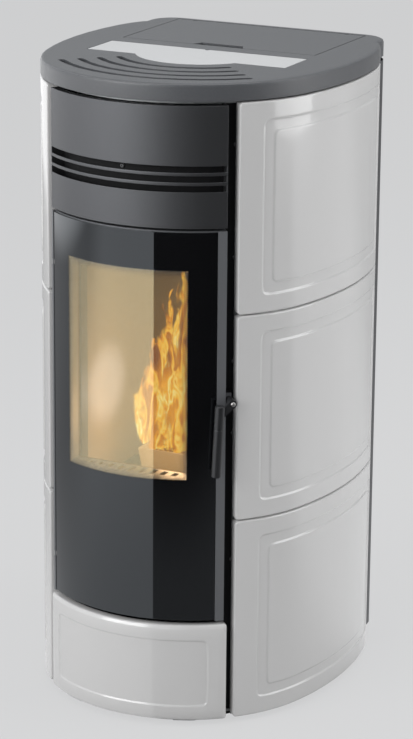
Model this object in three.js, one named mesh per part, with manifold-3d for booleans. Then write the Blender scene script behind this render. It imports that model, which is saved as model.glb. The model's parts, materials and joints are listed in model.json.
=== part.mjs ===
// Pellet stove with a curved steel and glass front and glazed ceramic side tiles.
// Units are millimetres, +Z is up, the front faces -Y, and the origin is on the floor
// under the middle of the stove.
//
// Most of the stove follows one plan outline: a front arc, two flank arcs and two tail
// arcs, all tangent. Curved pieces are first made flat, with x as the length along that
// outline, y as the depth behind it and z as the height, and are then wrapped round it.

import * as THREE from "three";
import { mergeVertices } from "three/addons/utils/BufferGeometryUtils.js";
import Module from "manifold-3d";

const wasm = await Module();
wasm.setup();

const degrees = Math.PI / 180;

// ---------------------------------------------------------------- driving dimensions

const seat = 0.3; // gap between pieces that touch
const seam = 2; // gap between neighbouring tiles

// plan outline
const bodyDepth = 608;
const flueReach = 33; // how far the flue collar stands out behind the body
const frontRadius = 264;
const flankRadius = 595;
const tailRadius = 203;
const flankTurn = 74.5 * degrees; // normal angle where the front arc meets the flank arc
const tailTurn = 102.5 * degrees;
const blockHalf = 235; // half width of the straight rear block
const blockCorner = 50;

// arc lengths along the outline, from the middle of the front
const columnHalf = 183.5; // door and fascia
const channelWidth = 19.5; // dark channel between the column and the side tiles
const sideTileLength = 494;
const baseTileHalf = 189.5;

// heights
const footHeight = 10;
const baseTileTop = 189;
const doorBottom = 196;
const topPlateBottom = 1119;
const topPlateHeight = 30;
const topTileGap = 3;
const topFasciaGap = 7;
const fasciaHeight = 210;
const doorTopGap = 5;

// sheet and casting thicknesses
const thinSheet = 1.5;
const sheet = 2;
const thickSheet = 3;
const boilerPlate = 4;
const castWall = 9;

// tiles
const tileBody = 10;
const tileRim = 19;
const tileRimWidth = 12;
const tileBevel = 2.5;
const tileCorner = 7;
const bandDepth = 2;
const bandOuterInset = [46, 32];
const bandInnerInset = [67, 51.5];
const bandCorner = 12;
const baseTileProud = 4;
const baseTileBack = 14;
const baseTileBevel = 4;
const baseFrameInset = [34, 28];

// structure
const carrierDepth = 20;
const postDepth = 26;
const postWidth = 37;
const postReturn = 30;
const plateInset = carrierDepth + sheet + seat;
const baseSheetZ = 14;
const baseSheet = 3;
const baseTop = baseSheetZ + baseSheet;
const footRadius = 22;
const footPadHeight = 6;
const footStem = 5;
const footInset = [140, 200];

// top plate
const topFillet = 6;
const topSkin = 10;
const lidHalf = 188;
const lidFront = 48.5;
const lidRear = 270;
const lidGap = 1.8;
const lidRearGap = 4.3;
const lidRim = 16;
const fingerHalf = 50;
const fingerDepth = 20;
const grooveCentreY = -23.5;
const grooveRadii = [147, 182, 217, 251];
const grooveWidth = 12;
const grooveDepth = 5;
const grooveHalfAngle = 45.5 * degrees;
const coverHalf = 191;
const coverFront = -83.5;
const coverRear = 8.5;
const coverBulge = 113.5;
const coverThickness = 6;
const coverGap = 1;
const coverNotch = 5;

// lid hinge
const lidRodRadius = 2;
const lidRodHalf = 165;
const lidRodInset = 4;
const lidRodDrop = 7;
const lidKnuckle = 3.5;
const lidKnuckleFrom = 118;
const lidKnuckleLength = 30;
const lidLugLength = 8;
const lidArmTop = 1.5; // below the rod, so that the lid clears it when it is open

// fascia
const slotHeight = 11;
const slotBar = 5.7;
const slotCount = 3;
const slotDrop = 102.5; // from the top of the fascia to the top slot
const fasciaReturn = postDepth - seat;
const fasciaLip = 12;

// door
const glassThickness = 4;
const glassRecess = 1.2;
const glassHalf = 171;
const glassShift = -3.5; // the glass sits off centre, towards the hinges
const glassEndGap = 3.5;
const doorDepth = 24;
const doorFace = 2.5;
const windowHalf = 121;
const windowRise = 260; // from the bottom of the door
const windowDrop = 68; // from the top of the door
const windowShift = -3;
const innerFrameY = -256; // front of the flat inner plate of the door
const ropeSize = 10;
const sillSlots = 9;
const sillSlotPitch = 20.4;
const sillSlotWidth = 10;
const sillSlotLength = 30;
const sillSlotTaper = 3.5; // shorter by this from one slot to the next
const sillSlotSetback = 5;

// door hinge and latch
const hingeArc = 2; // beyond the column's edge
const hingeDepth = 12;
const hingePin = 3;
const hingeKnuckle = 6;
const hingeKnuckleLength = 30;
const hingeLeaf = 5;
const hingeSweep = 13; // clear round the hinge axis, so that the door can turn
const hingeRise = 74; // from the bottom of the door
const hingeDrop = 87; // from the top of the door
const running = 0.3;
const hubArc = 8;
const hubHeight = 597;
const hubRadius = 7;
const hubFront = 12;
const earFront = 10;
const earThickness = 4;
const gripRadius = 8.5;
const gripStandOff = 22;
const gripSide = 24.5;
const gripTilt = 2.7 * degrees;
const gripLength = 128;
const gripHead = 41;
const armFront = 17;
const armThickness = 7;
const armDrop = 22;
const armFoot = 5;
const latchShaft = 4.5;
const boltHead = 4.2;
const boltShank = 2;

// firebox
const boxHalf = 145;
const boxBottom = 200;
const boxDrop = 17; // from the top of the door
const boxRear = 60;
const mouthHalf = 127;
const mouthBottom = 215;
const mouthDrop = 35; // from the top of the firebox
const linerThickness = 13;
const linerFront = -203;
const linerDrop = 90;
const baffleThickness = 8;
const baffleFront = -120;
const baffleHole = [9, 60, -95]; // radius, pitch, y
const smokeDrop = [75, 20]; // the smoke entry, from the top of the firebox
const shelfZ = 384;
const potHalf = 55;
const potY = -95;
const potHeight = 62;
const ashHalf = 118;
const ashHeight = 80;
const ashFront = -232;
const ashRear = 10;

// pellet feed
const hopperHalf = 170;
const hopperY = [82, 252];
const lidSealHeight = 6;
const hopperStraight = 100; // upright part below the rim
const hopperBend = [140, 130, 116, 236]; // height below that, half width, and y of the bend
const hopperThroatZ = 620;
const hopperLug = [140, 200];
const throatHalf = 35;
const throatY = [119, 177];
const augerFoot = [205, 450]; // y and z of the lower end of the auger's axis
const augerTilt = 45 * degrees;
const augerLength = 160;
const augerRadius = 32;
const flightRadius = 26;
const flightPitch = 40;
const augerShaft = 8;
const chuteZ = [520, 600];
const chuteFloor = 500;
const feedGap = [5, 45];
const feedHalf = 30;
const chuteRear = 118;

// smoke path
const ductX = [-130, -50];
const ductDepth = 50;
const ductBottom = 60;
const fanX = -90;
const fanZ = 130;
const fanHousing = 68;
const fanDepth = 52;
const fanEye = 32;
const impellerRadius = 58;
const impellerBlades = 10;
const fanMotor = 33;
const flueX = 75;
const flueZ = 160;
const flueRadius = 40;
const airX = 110;
const airZ = 262;
const airRadius = 25;
const airReach = 12;

// rear panel
const rearPanelBottom = 26;
const grilleRows = 8;
const grillePitch = 16;
const grilleSlot = [90, 6];
const grilleDrop = 292; // from the top of the rear panel
const grilleX = [-75, 75];
const inletX = -140;
const inletZ = 330;
const inletSize = [54, 34];

// ---------------------------------------------------------------- derived values

const heightAll = topPlateBottom + topPlateHeight;
const sideTileTop = topPlateBottom - topTileGap;
const fasciaTop = topPlateBottom - topFasciaGap;
const fasciaBottom = fasciaTop - fasciaHeight;
const slotTop = fasciaTop - slotDrop;
const doorTop = fasciaBottom - doorTopGap;
const windowBottom = doorBottom + windowRise;
const windowTop = doorTop - windowDrop;
const hingeHeights = [doorBottom + hingeRise, doorTop - hingeDrop];
const boxTop = doorTop - boxDrop;
const mouthTop = boxTop - mouthDrop;
const linerTop = boxTop - linerDrop;
const hopperRimZ = heightAll - thickSheet - lidSealHeight;
const grilleBottom = fasciaTop - grilleDrop;
const depthAll = baseTileProud + bodyDepth + flueReach;
const frontY = baseTileProud - depthAll / 2;
const rearY = frontY + bodyDepth;
const tileBottom = footHeight;
const sideTileFrom = columnHalf + channelWidth;
const sideTileTo = sideTileFrom + sideTileLength;
const frontArc = frontRadius * flankTurn;
const flankArc = flankRadius * (tailTurn - flankTurn);

const normal = (turn) => new THREE.Vector2(Math.sin(turn), -Math.cos(turn));
const frontCentre = new THREE.Vector2(0, frontY + frontRadius);
const flankCentre = frontCentre.clone().addScaledVector(normal(flankTurn), frontRadius - flankRadius);
const tailCentre = flankCentre.clone().addScaledVector(normal(tailTurn), flankRadius - tailRadius);

// ---------------------------------------------------------------- the plan outline

// The point of the smooth outline at an arc length from the middle of the front, moved
// inwards by a depth.
function smoothPoint(run, depth) {
  const [centre, radius, turn] =
    run <= frontArc
      ? [frontCentre, frontRadius, run / frontRadius]
      : run <= frontArc + flankArc
        ? [flankCentre, flankRadius, flankTurn + (run - frontArc) / flankRadius]
        : [tailCentre, tailRadius, tailTurn + (run - frontArc - flankArc) / tailRadius];
  return centre.clone().addScaledVector(normal(turn), radius - depth);
}

// The arc lengths where curved pieces get an edge, finer where the outline is tighter.
const frontFacet = frontArc / 11;
const flankFacet = flankArc / 6;
const tailFacet = (sideTileTo - frontArc - flankArc) / 2;
const wrapTolerance = 0.05; // edges that bend less than this are left out
function facetEdges() {
  const edges = [0];
  while (edges.at(-1) < sideTileTo + 2 * tailFacet) {
    const run = edges.at(-1) + 0.01;
    const step = run < frontArc ? frontFacet : run < frontArc + flankArc ? flankFacet : tailFacet;
    edges.push(edges.at(-1) + step);
  }
  return [...edges.slice(1).map((edge) => -edge), ...edges].sort((a, b) => a - b);
}
const edges = facetEdges();

// The point of the faceted outline, which every curved piece follows. Negative lengths
// run along the left side.
function outlinePoint(arc, depth = 0) {
  const run = Math.abs(arc);
  const side = Math.sign(arc) || 1;
  const next = edges.find((edge) => edge > run);
  const last = edges[edges.indexOf(next) - 1];
  const share = (run - last) / (next - last);
  const point = smoothPoint(last, depth).lerp(smoothPoint(next, depth), share);
  return new THREE.Vector2(side * point.x, point.y);
}

const tailEnd = outlinePoint(sideTileTo);

// The closed plan shape at a depth, with the straight block at the rear.
function planShape(depth, blockInset = depth, rearInset = depth) {
  const right = edges.filter((edge) => edge >= 0 && edge < sideTileTo).map((e) => outlinePoint(e, depth));
  right.push(outlinePoint(sideTileTo, depth));
  const half = blockHalf - blockInset;
  const rear = rearY - rearInset;
  const corner = blockCorner - blockInset / 2;
  const start = Math.max(right.at(-1).y + seam, tailEnd.y + seam);
  right.push(new THREE.Vector2(half, start));
  for (let step = 0; step <= 6; step++) {
    const angle = (step / 6) * (Math.PI / 2);
    const x = half - corner + corner * Math.cos(angle);
    right.push(new THREE.Vector2(x, rear - corner + corner * Math.sin(angle)));
  }
  const left = right.slice(1).map((p) => new THREE.Vector2(-p.x, p.y));
  return new THREE.Shape([...right, ...left.reverse()]);
}

// ---------------------------------------------------------------- solids

// A closed three.js geometry as a solid that can be joined and cut.
function solid(geometry) {
  const bare = geometry.clone();
  bare.deleteAttribute("normal");
  bare.deleteAttribute("uv");
  const merged = mergeVertices(bare, 1e-4);
  const vertProperties = Float32Array.from(merged.attributes.position.array);
  const triVerts = Uint32Array.from(merged.index.array);
  const made = new wasm.Manifold(new wasm.Mesh({ numProp: 3, vertProperties, triVerts }));
  if (made.volume() > 0) return made;
  triVerts.reverse();
  return new wasm.Manifold(new wasm.Mesh({ numProp: 3, vertProperties, triVerts }));
}

const join = (...solids) => solids.flat().reduce((whole, piece) => whole.add(piece));
const cut = (body, ...tools) => tools.flat().reduce((rest, tool) => rest.subtract(tool), body);

function box(x0, x1, y0, y1, z0, z1) {
  const geometry = new THREE.BoxGeometry(x1 - x0, y1 - y0, z1 - z0);
  geometry.translate((x0 + x1) / 2, (y0 + y1) / 2, (z0 + z1) / 2);
  return solid(geometry);
}

// A rectangle in the plane of the front, given by its edges.
function rectangle(x0, x1, z0, z1, corner = 0) {
  const shape = new THREE.Shape();
  if (corner <= 0) return shape.moveTo(x0, z0).lineTo(x1, z0).lineTo(x1, z1).lineTo(x0, z1);
  shape.absarc(x1 - corner, z0 + corner, corner, -Math.PI / 2, 0);
  shape.absarc(x1 - corner, z1 - corner, corner, 0, Math.PI / 2);
  shape.absarc(x0 + corner, z1 - corner, corner, Math.PI / 2, Math.PI);
  shape.absarc(x0 + corner, z0 + corner, corner, Math.PI, Math.PI * 1.5);
  return shape;
}

// An outline in the plane of the front, made solid from one depth to another.
function plate(shape, front, back, bevel = 0, curveSegments = 4, bevelSegments = 1) {
  const geometry = new THREE.ExtrudeGeometry(shape, {
    depth: back - front - 2 * bevel,
    bevelEnabled: bevel > 0,
    bevelThickness: bevel,
    bevelSize: bevel,
    bevelOffset: -bevel,
    bevelSegments,
    curveSegments,
  });
  geometry.translate(0, 0, bevel);
  geometry.rotateX(Math.PI / 2);
  geometry.translate(0, back, 0);
  return solid(geometry);
}

// An outline in plan, made solid from one height to another.
function prism(shape, bottom, top, bevel = 0, curveSegments = 6) {
  const geometry = new THREE.ExtrudeGeometry(shape, {
    depth: top - bottom - 2 * bevel,
    bevelEnabled: bevel > 0,
    bevelThickness: bevel,
    bevelSize: bevel,
    bevelOffset: -bevel,
    bevelSegments: 2,
    curveSegments,
  });
  geometry.translate(0, 0, bottom + bevel);
  return solid(geometry);
}

// A turned solid. The profile holds pairs of radius and place along the axis.
function turned(profile, axis = "z", segments = 16) {
  const points = profile.map(([radius, along]) => new THREE.Vector2(radius, along));
  const geometry = new THREE.LatheGeometry(points, segments);
  if (axis === "z") geometry.rotateX(Math.PI / 2);
  if (axis === "x") geometry.rotateZ(-Math.PI / 2);
  return solid(geometry);
}

const rod = (radius, from, to, axis = "z", segments = 12) =>
  turned(
    [
      [0, from],
      [radius, from],
      [radius, to],
      [0, to],
    ],
    axis,
    segments,
  );

const pipe = (outer, inner, from, to, axis = "z", segments = 16) =>
  turned(
    [
      [inner, from],
      [outer, from],
      [outer, to],
      [inner, to],
      [inner, from],
    ],
    axis,
    segments,
  );

// A solid through a stack of rectangles [height, x0, x1, y0, y1].
function funnel(levels) {
  const positions = levels.flatMap(([z, x0, x1, y0, y1]) => [x0, y0, z, x1, y0, z, x1, y1, z, x0, y1, z]);
  const faces = [0, 2, 1, 0, 3, 2];
  for (let level = 0; level + 1 < levels.length; level++)
    for (let side = 0; side < 4; side++) {
      const a = level * 4 + side;
      const b = level * 4 + ((side + 1) % 4);
      faces.push(a, b, b + 4, a, b + 4, a + 4);
    }
  const last = (levels.length - 1) * 4;
  faces.push(last, last + 1, last + 2, last, last + 2, last + 3);
  const geometry = new THREE.BufferGeometry();
  geometry.setAttribute("position", new THREE.Float32BufferAttribute(positions, 3));
  geometry.setIndex(faces);
  return solid(geometry);
}

// Splits each face that crosses the plane x = at, so that the solid can bend there.
function splitAt(points, faces, at) {
  const side = points.map((point) => (Math.abs(point[0] - at) < 1e-3 ? 0 : Math.sign(point[0] - at)));
  const made = new Map();
  const middle = (a, b) => {
    const key = a < b ? `${a},${b}` : `${b},${a}`;
    if (!made.has(key)) {
      const [p, q] = a < b ? [points[a], points[b]] : [points[b], points[a]];
      const share = (at - p[0]) / (q[0] - p[0]);
      made.set(key, points.length);
      points.push([at, p[1] + share * (q[1] - p[1]), p[2] + share * (q[2] - p[2])]);
    }
    return made.get(key);
  };
  const result = [];
  for (const face of faces) {
    const signs = face.map((corner) => side[corner]);
    if (!(signs.includes(1) && signs.includes(-1))) {
      result.push(face);
      continue;
    }
    const alone = (sign, i) => sign !== 0 && signs.every((other, j) => i === j || other !== sign);
    const first = signs.findIndex(alone);
    const [a, b, c] = [face[first], face[(first + 1) % 3], face[(first + 2) % 3]];
    if (side[b] === 0) {
      const m = middle(a, c);
      result.push([a, b, m], [b, c, m]);
    } else if (side[c] === 0) {
      const m = middle(a, b);
      result.push([a, m, c], [m, b, c]);
    } else {
      const m = middle(a, b);
      const n = middle(a, c);
      result.push([a, m, n], [m, b, c], [m, c, n]);
    }
  }
  return result;
}

// Wraps a flat solid round the plan outline.
function wrap(flat) {
  const mesh = flat.getMesh();
  const points = [];
  for (let i = 0; i < mesh.numVert; i++)
    points.push([...mesh.vertProperties.subarray(i * mesh.numProp, i * mesh.numProp + 3)]);
  let faces = [];
  for (let i = 0; i < mesh.triVerts.length; i += 3) faces.push([...mesh.triVerts.subarray(i, i + 3)]);
  const reach = points.map((point) => point[0]);
  const low = Math.min(...reach);
  const high = Math.max(...reach);
  for (const edge of edges) if (edge > low && edge < high) faces = splitAt(points, faces, edge);
  const bent = points.flatMap(([along, depth, height]) => {
    const place = outlinePoint(along, depth);
    return [place.x, place.y, height];
  });
  const geometry = new THREE.BufferGeometry();
  geometry.setAttribute("position", new THREE.Float32BufferAttribute(bent, 3));
  geometry.setIndex(faces.flat());
  return solid(geometry).simplify(wrapTolerance);
}

const moved = (piece, x, y, z) => piece.translate([x, y, z]);

// ---------------------------------------------------------------- materials

const paint = (color, roughness, metalness = 0) => new THREE.MeshStandardMaterial({ color, roughness, metalness });
const castIron = paint(0x6b6e72, 0.6, 0.3);
const anthracite = paint(0x585a5e, 0.5, 0.3);
const blackPaint = paint(0x1b1c1e, 0.7, 0.2);
const glaze = paint(0xc9cacb, 0.15);
const paleGlaze = paint(0xd6d9de, 0.35);
const blackGlass = paint(0x16181a, 0.05);
const steel = paint(0xa9abad, 0.35, 0.9);
const zinc = paint(0x9a9da0, 0.5, 0.8);
const refractory = paint(0xb59c74, 0.9);
const rope = paint(0x8a8780, 0.95);
const plastic = paint(0x2a2b2d, 0.5);
const rubber = paint(0x222222, 0.9);

const stove = new THREE.Group();
stove.name = "tiled_stove";

function add(name, made, material, parent = stove) {
  const source = made.getMesh();
  const positions = new Float32Array(source.numVert * 3);
  for (let i = 0; i < source.numVert; i++)
    positions.set(source.vertProperties.subarray(i * source.numProp, i * source.numProp + 3), i * 3);
  const geometry = new THREE.BufferGeometry();
  geometry.setAttribute("position", new THREE.BufferAttribute(positions, 3));
  geometry.setIndex(new THREE.BufferAttribute(Uint32Array.from(source.triVerts), 1));
  geometry.computeVertexNormals();
  const mesh = new THREE.Mesh(geometry, material);
  mesh.name = name;
  parent.add(mesh);
  return mesh;
}

// ---------------------------------------------------------------- base and structure

function footPlaces() {
  const [half, reach] = footInset;
  return [
    ["front_left", -half, -reach],
    ["front_right", half, -reach],
    ["rear_left", -half, reach],
    ["rear_right", half, reach],
  ];
}

// A threaded levelling foot: a pad that tapers into its stem.
function levellingFoot() {
  return turned([
    [0, 0],
    [footRadius, 0],
    [footRadius, footPadHeight],
    [footStem + 4, footPadHeight + 4],
    [footStem + 4, baseSheetZ - seat],
    [footStem, baseSheetZ - seat],
    [footStem, baseTop + 22],
    [0, baseTop + 22],
  ]);
}

// The base sheet with its raised rear flange and two clips that carry the base tile.
function basePlate() {
  const clip = [95, 135];
  const flangeHalf = 175;
  const flangeTop = 60;
  const lipTop = 150;
  const ledgeFront = 2;
  const clipFront = baseTileBack + seat;
  const ledgeZ = tileBottom - seat;
  const sheetBody = prism(planShape(plateInset, 26, thinSheet + seat), baseSheetZ, baseTop);
  const rear = rearY - thinSheet - seat;
  const flange = box(-flangeHalf, flangeHalf, rear - sheet, rear, baseSheetZ, flangeTop);
  const clips = [1, -1].map((side) => {
    const [from, to] = side > 0 ? clip : [-clip[1], -clip[0]];
    const upright = box(from, to, clipFront, clipFront + sheet, ledgeZ - seam + 0.6, lipTop);
    const ledge = box(from, to, ledgeFront, clipFront + sheet, ledgeZ - seam + 0.6, ledgeZ);
    const tongue = box(from, to, clipFront, plateInset + 12, baseSheetZ, baseTop);
    return wrap(join(upright, ledge, tongue));
  });
  const holes = footPlaces().map(([, x, y]) => moved(rod(footStem + seat, 0, 30), x, y, 0));
  return cut(join(sheetBody, flange, clips), holes);
}

// The post behind each channel: a channel section with its web facing forwards.
function post(side) {
  const start = columnHalf - 5.5;
  const end = start + postWidth;
  const web = box(start, end, postDepth, postDepth + sheet, baseTop + seat, fasciaTop);
  const leg = box(end - sheet, end, postDepth, postDepth + postReturn, baseTop + seat, fasciaTop);
  const flat = join(web, leg);
  return wrap(side > 0 ? flat : flat.mirror([1, 0, 0]));
}

const tileHeight = (sideTileTop - tileBottom - 2 * seam) / 3;
const tileZ = (row) => tileBottom + row * (tileHeight + seam);

// The sheet behind the side tiles, with a ledge under each tile and a return at the front.
function sideCarrier(side) {
  const from = sideTileFrom + 2;
  const to = sideTileTo + 4;
  const bottom = tileBottom - seam + seat;
  const ledgeFront = 6;
  const ledgeEnds = 30;
  const skin = box(from, to, carrierDepth, carrierDepth + sheet, bottom, fasciaTop);
  const front = box(from, from + sheet, carrierDepth, postDepth - seat, baseTop + seat, fasciaTop);
  const ledges = [0, 1, 2].map((row) => {
    const top = tileZ(row) - seat;
    return box(from + ledgeEnds, sideTileTo - ledgeEnds, ledgeFront, carrierDepth + 1, top - 1.4, top);
  });
  const flat = join(skin, front, ledges);
  return wrap(side > 0 ? flat : flat.mirror([1, 0, 0]));
}

// The ring that ties the posts and carriers together and carries the top plate.
const frameZ = fasciaTop + seat;
const frameTop = frameZ + thickSheet;
const frameOpening = [178, -185, 262];
function topFrame() {
  const [half, front, rear] = frameOpening;
  const ring = prism(planShape(carrierDepth, 12, thinSheet + seat), frameZ, frameTop);
  return cut(ring, box(-half, half, front, rear, frameZ - 1, frameTop + 1));
}

// ---------------------------------------------------------------- ceramic tiles

// A glazed tile: bevelled edges, a hollow back inside its rim, and either a sunken band
// round a raised middle (inner inset given) or a plain sunken middle.
function tile(from, to, bottom, top, front, body, back, bevel, outer, inner) {
  const face = plate(rectangle(from, to, bottom, top, tileCorner), front, back - bevel, bevel, 2);
  const rim = plate(rectangle(from, to, bottom, top, tileCorner), front + 2 * bevel, back, 0, 2);
  const around = (dx, dz, corner) => rectangle(from + dx, to - dx, bottom + dz, top - dz, corner);
  const [ox, oz] = outer;
  let band = plate(around(ox, oz, bandCorner), front - 5, front + bandDepth, 0, 2);
  if (inner) {
    const [ix, iz] = inner;
    band = band.subtract(plate(around(ix, iz, bandCorner), front - 6, front + bandDepth + 1, 0, 2));
  }
  const hollow = plate(around(tileRimWidth, tileRimWidth, tileCorner), body, back + 5, 0, 1);
  return wrap(cut(join(face, rim), band, hollow));
}

function sideTile(side, row) {
  const bottom = tileZ(row);
  const ends = [side * sideTileFrom, side * sideTileTo].sort((a, b) => a - b);
  return tile(
    ends[0],
    ends[1],
    bottom,
    bottom + tileHeight,
    0,
    tileBody,
    tileRim,
    tileBevel,
    bandOuterInset,
    bandInnerInset,
  );
}

const baseTile = () =>
  tile(
    -baseTileHalf,
    baseTileHalf,
    tileBottom,
    baseTileTop,
    -baseTileProud,
    tileBody - baseTileProud,
    baseTileBack,
    baseTileBevel,
    baseFrameInset,
  );

// ---------------------------------------------------------------- top plate, lid, cover

function coverShape(growth) {
  const half = coverHalf + growth;
  const front = coverFront - growth;
  const radius = coverBulge + growth;
  const drop = grooveCentreY - front;
  const start = Math.asin(drop / radius);
  const shape = new THREE.Shape();
  shape.moveTo(half, coverRear + growth);
  shape.lineTo(-half, coverRear + growth);
  shape.lineTo(-half, front);
  shape.lineTo(-radius * Math.cos(start), front);
  shape.absarc(0, grooveCentreY, radius, Math.PI + start, 2 * Math.PI - start);
  shape.lineTo(half, front);
  return shape;
}

function arcGroove(radius) {
  const shape = new THREE.Shape();
  const from = -Math.PI / 2 - grooveHalfAngle;
  const to = -Math.PI / 2 + grooveHalfAngle;
  const w = grooveWidth / 2;
  shape.absarc(0, 0, radius + w, from, to);
  shape.absarc(radius * Math.cos(to), radius * Math.sin(to), w, to, to + Math.PI);
  shape.absarc(0, 0, radius - w, to, from, true);
  shape.absarc(radius * Math.cos(from), radius * Math.sin(from), w, from + Math.PI, from + 2 * Math.PI);
  const groove = prism(shape, heightAll - grooveDepth, heightAll + 5, 0, 5);
  return moved(groove, 0, grooveCentreY, 0);
}

const displayHalf = [75, 32];
const displayY = -42;
const rodY = lidRear - lidRodInset;
const rodZ = heightAll - lidRodDrop;
const bossPlaces = [
  [205, -60],
  [-205, -60],
  [205, 150],
  [-205, 150],
];

function topPlate() {
  const skirt = prism(planShape(0), topPlateBottom, heightAll - 2 * topFillet);
  const crown = prism(planShape(0), topPlateBottom + topFillet, heightAll, topFillet);
  const hollowTop = heightAll - topSkin;
  const hollow = prism(planShape(castWall), topPlateBottom - 5, hollowTop);
  const bosses = bossPlaces.map(([x, y]) => moved(rod(10, frameTop + seat, hollowTop + 1, "z", 12), x, y, 0));
  const lidOpening = box(
    -lidHalf - lidGap,
    lidHalf + lidGap,
    lidFront - lidGap,
    lidRear + lidRearGap,
    topPlateBottom,
    heightAll + 5,
  );
  const [dx, dy] = displayHalf;
  const window = box(-dx, dx, displayY - dy, displayY + dy, topPlateBottom, heightAll);
  const recess = prism(coverShape(coverGap), heightAll - coverThickness - seat, heightAll + 5, 0, 12);
  const lugs = [1, -1].map((side) => {
    const inner = lidKnuckleFrom + lidKnuckleLength + 1;
    const ends = [side * inner, side * (inner + lidLugLength)].sort((a, b) => a - b);
    const rear = lidRear + lidRearGap + 2;
    const arm = box(ends[0], ends[1], rodY, rear, rodZ - lidKnuckle, rodZ - lidArmTop);
    const eye = moved(rod(lidKnuckle, ends[0], ends[1], "x", 12), 0, rodY, rodZ);
    return cut(join(arm, eye), moved(rod(lidRodRadius + seat, ends[0] - 1, ends[1] + 1, "x", 12), 0, rodY, rodZ));
  });
  const shell = cut(join(skirt, crown), hollow);
  const opened = cut(join(shell, bosses), lidOpening, window, recess, grooveRadii.map(arcGroove));
  return join(opened, lugs).simplify(wrapTolerance);
}

// The sheet lid over the pellet hopper: folded rim, finger tray, hinge knuckles.
const lidNotchFrom = lidKnuckleFrom + lidKnuckleLength;
function hopperLid() {
  const skin = box(-lidHalf, lidHalf, lidFront, lidRear, heightAll - thickSheet, heightAll);
  const rimBottom = heightAll - lidRim;
  const rimOuter = box(-lidHalf, lidHalf, lidFront, lidRear, rimBottom, heightAll - 1);
  const rimInner = box(-lidHalf + sheet, lidHalf - sheet, lidFront + sheet, lidRear + 1, rimBottom - 1, heightAll);
  const trayHalf = fingerHalf + sheet;
  const tray = box(-trayHalf, trayHalf, lidFront, lidFront + fingerDepth + sheet, rimBottom, heightAll - 1);
  const scoop = new THREE.Shape();
  scoop.moveTo(-fingerHalf, lidFront - 1);
  scoop.lineTo(fingerHalf, lidFront - 1);
  scoop.lineTo(fingerHalf - fingerDepth / 2, lidFront + fingerDepth);
  scoop.lineTo(-fingerHalf + fingerDepth / 2, lidFront + fingerDepth);
  const body = join(skin, cut(rimOuter, rimInner), tray);
  const knuckles = [1, -1].map((side) => {
    const ends = [side * lidKnuckleFrom, side * lidNotchFrom].sort((a, b) => a - b);
    const eye = moved(rod(lidKnuckle, ends[0], ends[1], "x", 12), 0, rodY, rodZ);
    return join(eye, box(ends[0], ends[1], rodY - lidKnuckle, rodY + lidKnuckle - 1, rodZ, heightAll - 1));
  });
  const notches = [1, -1].map((side) => {
    const ends = [side * (lidNotchFrom + seat), side * (lidNotchFrom + lidLugLength + 2)].sort((a, b) => a - b);
    return box(ends[0], ends[1], rodY + lidArmTop, lidRear + 1, rimBottom - 1, heightAll + 1);
  });
  const bore = moved(rod(lidRodRadius + seat, -lidHalf, lidHalf, "x", 12), 0, rodY, rodZ);
  return cut(join(body, knuckles), prism(scoop, rimBottom + sheet, heightAll + 1), notches, bore);
}

function controlCover() {
  const top = heightAll;
  const slab = prism(coverShape(0), top - coverThickness, top, 1, 12);
  return cut(slab, moved(rod(coverNotch, top - 3, top + 1, "z", 10), 0, coverRear, 0));
}

// The display and its keys, hidden under the cover.
function controlPanel() {
  const [dx, dy] = displayHalf;
  const top = heightAll - topSkin - seat;
  const flange = box(-dx - 10, dx + 10, displayY - dy - 8, displayY + dy + 8, top - 3, top);
  const body = box(-dx + 2, dx - 2, displayY - dy + 2, displayY + dy - 2, top - 24, top + 2);
  const screen = box(-dx + 12, 5, displayY - 16, displayY + 16, top + 1, top + 5);
  const keys = [0, 1, 2, 3].map((i) => {
    const x = 24 + (i % 2) * 24;
    const y = displayY - 11 + Math.floor(i / 2) * 22;
    return moved(rod(7, top, top + 3, "z", 12), x, y, 0);
  });
  return join(cut(join(flange, body), screen), keys);
}

// ---------------------------------------------------------------- fascia

// The curved fascia: side and end returns and three slots that run to the folds.
function upperFascia() {
  const face = box(-columnHalf, columnHalf, 0, sheet, fasciaBottom, fasciaTop);
  const inner = columnHalf - sheet;
  const sides = [-1, 1].map((side) => {
    const ends = [side * columnHalf, side * inner].sort((a, b) => a - b);
    return box(ends[0], ends[1], 0, fasciaReturn, fasciaBottom, fasciaTop);
  });
  const lips = [
    box(-columnHalf, columnHalf, 0, fasciaLip, fasciaTop - sheet, fasciaTop),
    box(-columnHalf, columnHalf, 0, fasciaLip, fasciaBottom, fasciaBottom + sheet),
  ];
  const slots = Array.from({ length: slotCount }, (_, i) => {
    const top = slotTop - i * (slotHeight + slotBar);
    return box(-inner, inner, -1, sheet + 1, top - slotHeight, top);
  });
  return wrap(cut(join(face, sides, lips), slots));
}

const fasciaBackplate = () => {
  const half = columnHalf - sheet - seat;
  return wrap(box(-half, half, fasciaReturn - sheet + seat, fasciaReturn, fasciaBottom + 5, fasciaTop - 5));
};

// ---------------------------------------------------------------- door

const faceDepth = glassRecess + glassThickness + seat;
const hingeAt = outlinePoint(-columnHalf - hingeArc, hingeDepth);
const hingePoint = (z) => moved(rod(1, 0, 1), hingeAt.x, hingeAt.y, z);
const glassFrom = glassShift - glassHalf;
const glassTo = glassShift + glassHalf;
const windowFrom = windowShift - windowHalf;
const windowTo = windowShift + windowHalf;
const windowLeft = outlinePoint(windowFrom, faceDepth).x;
const windowRight = outlinePoint(windowTo, faceDepth).x;
const revealWall = 2;

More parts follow.
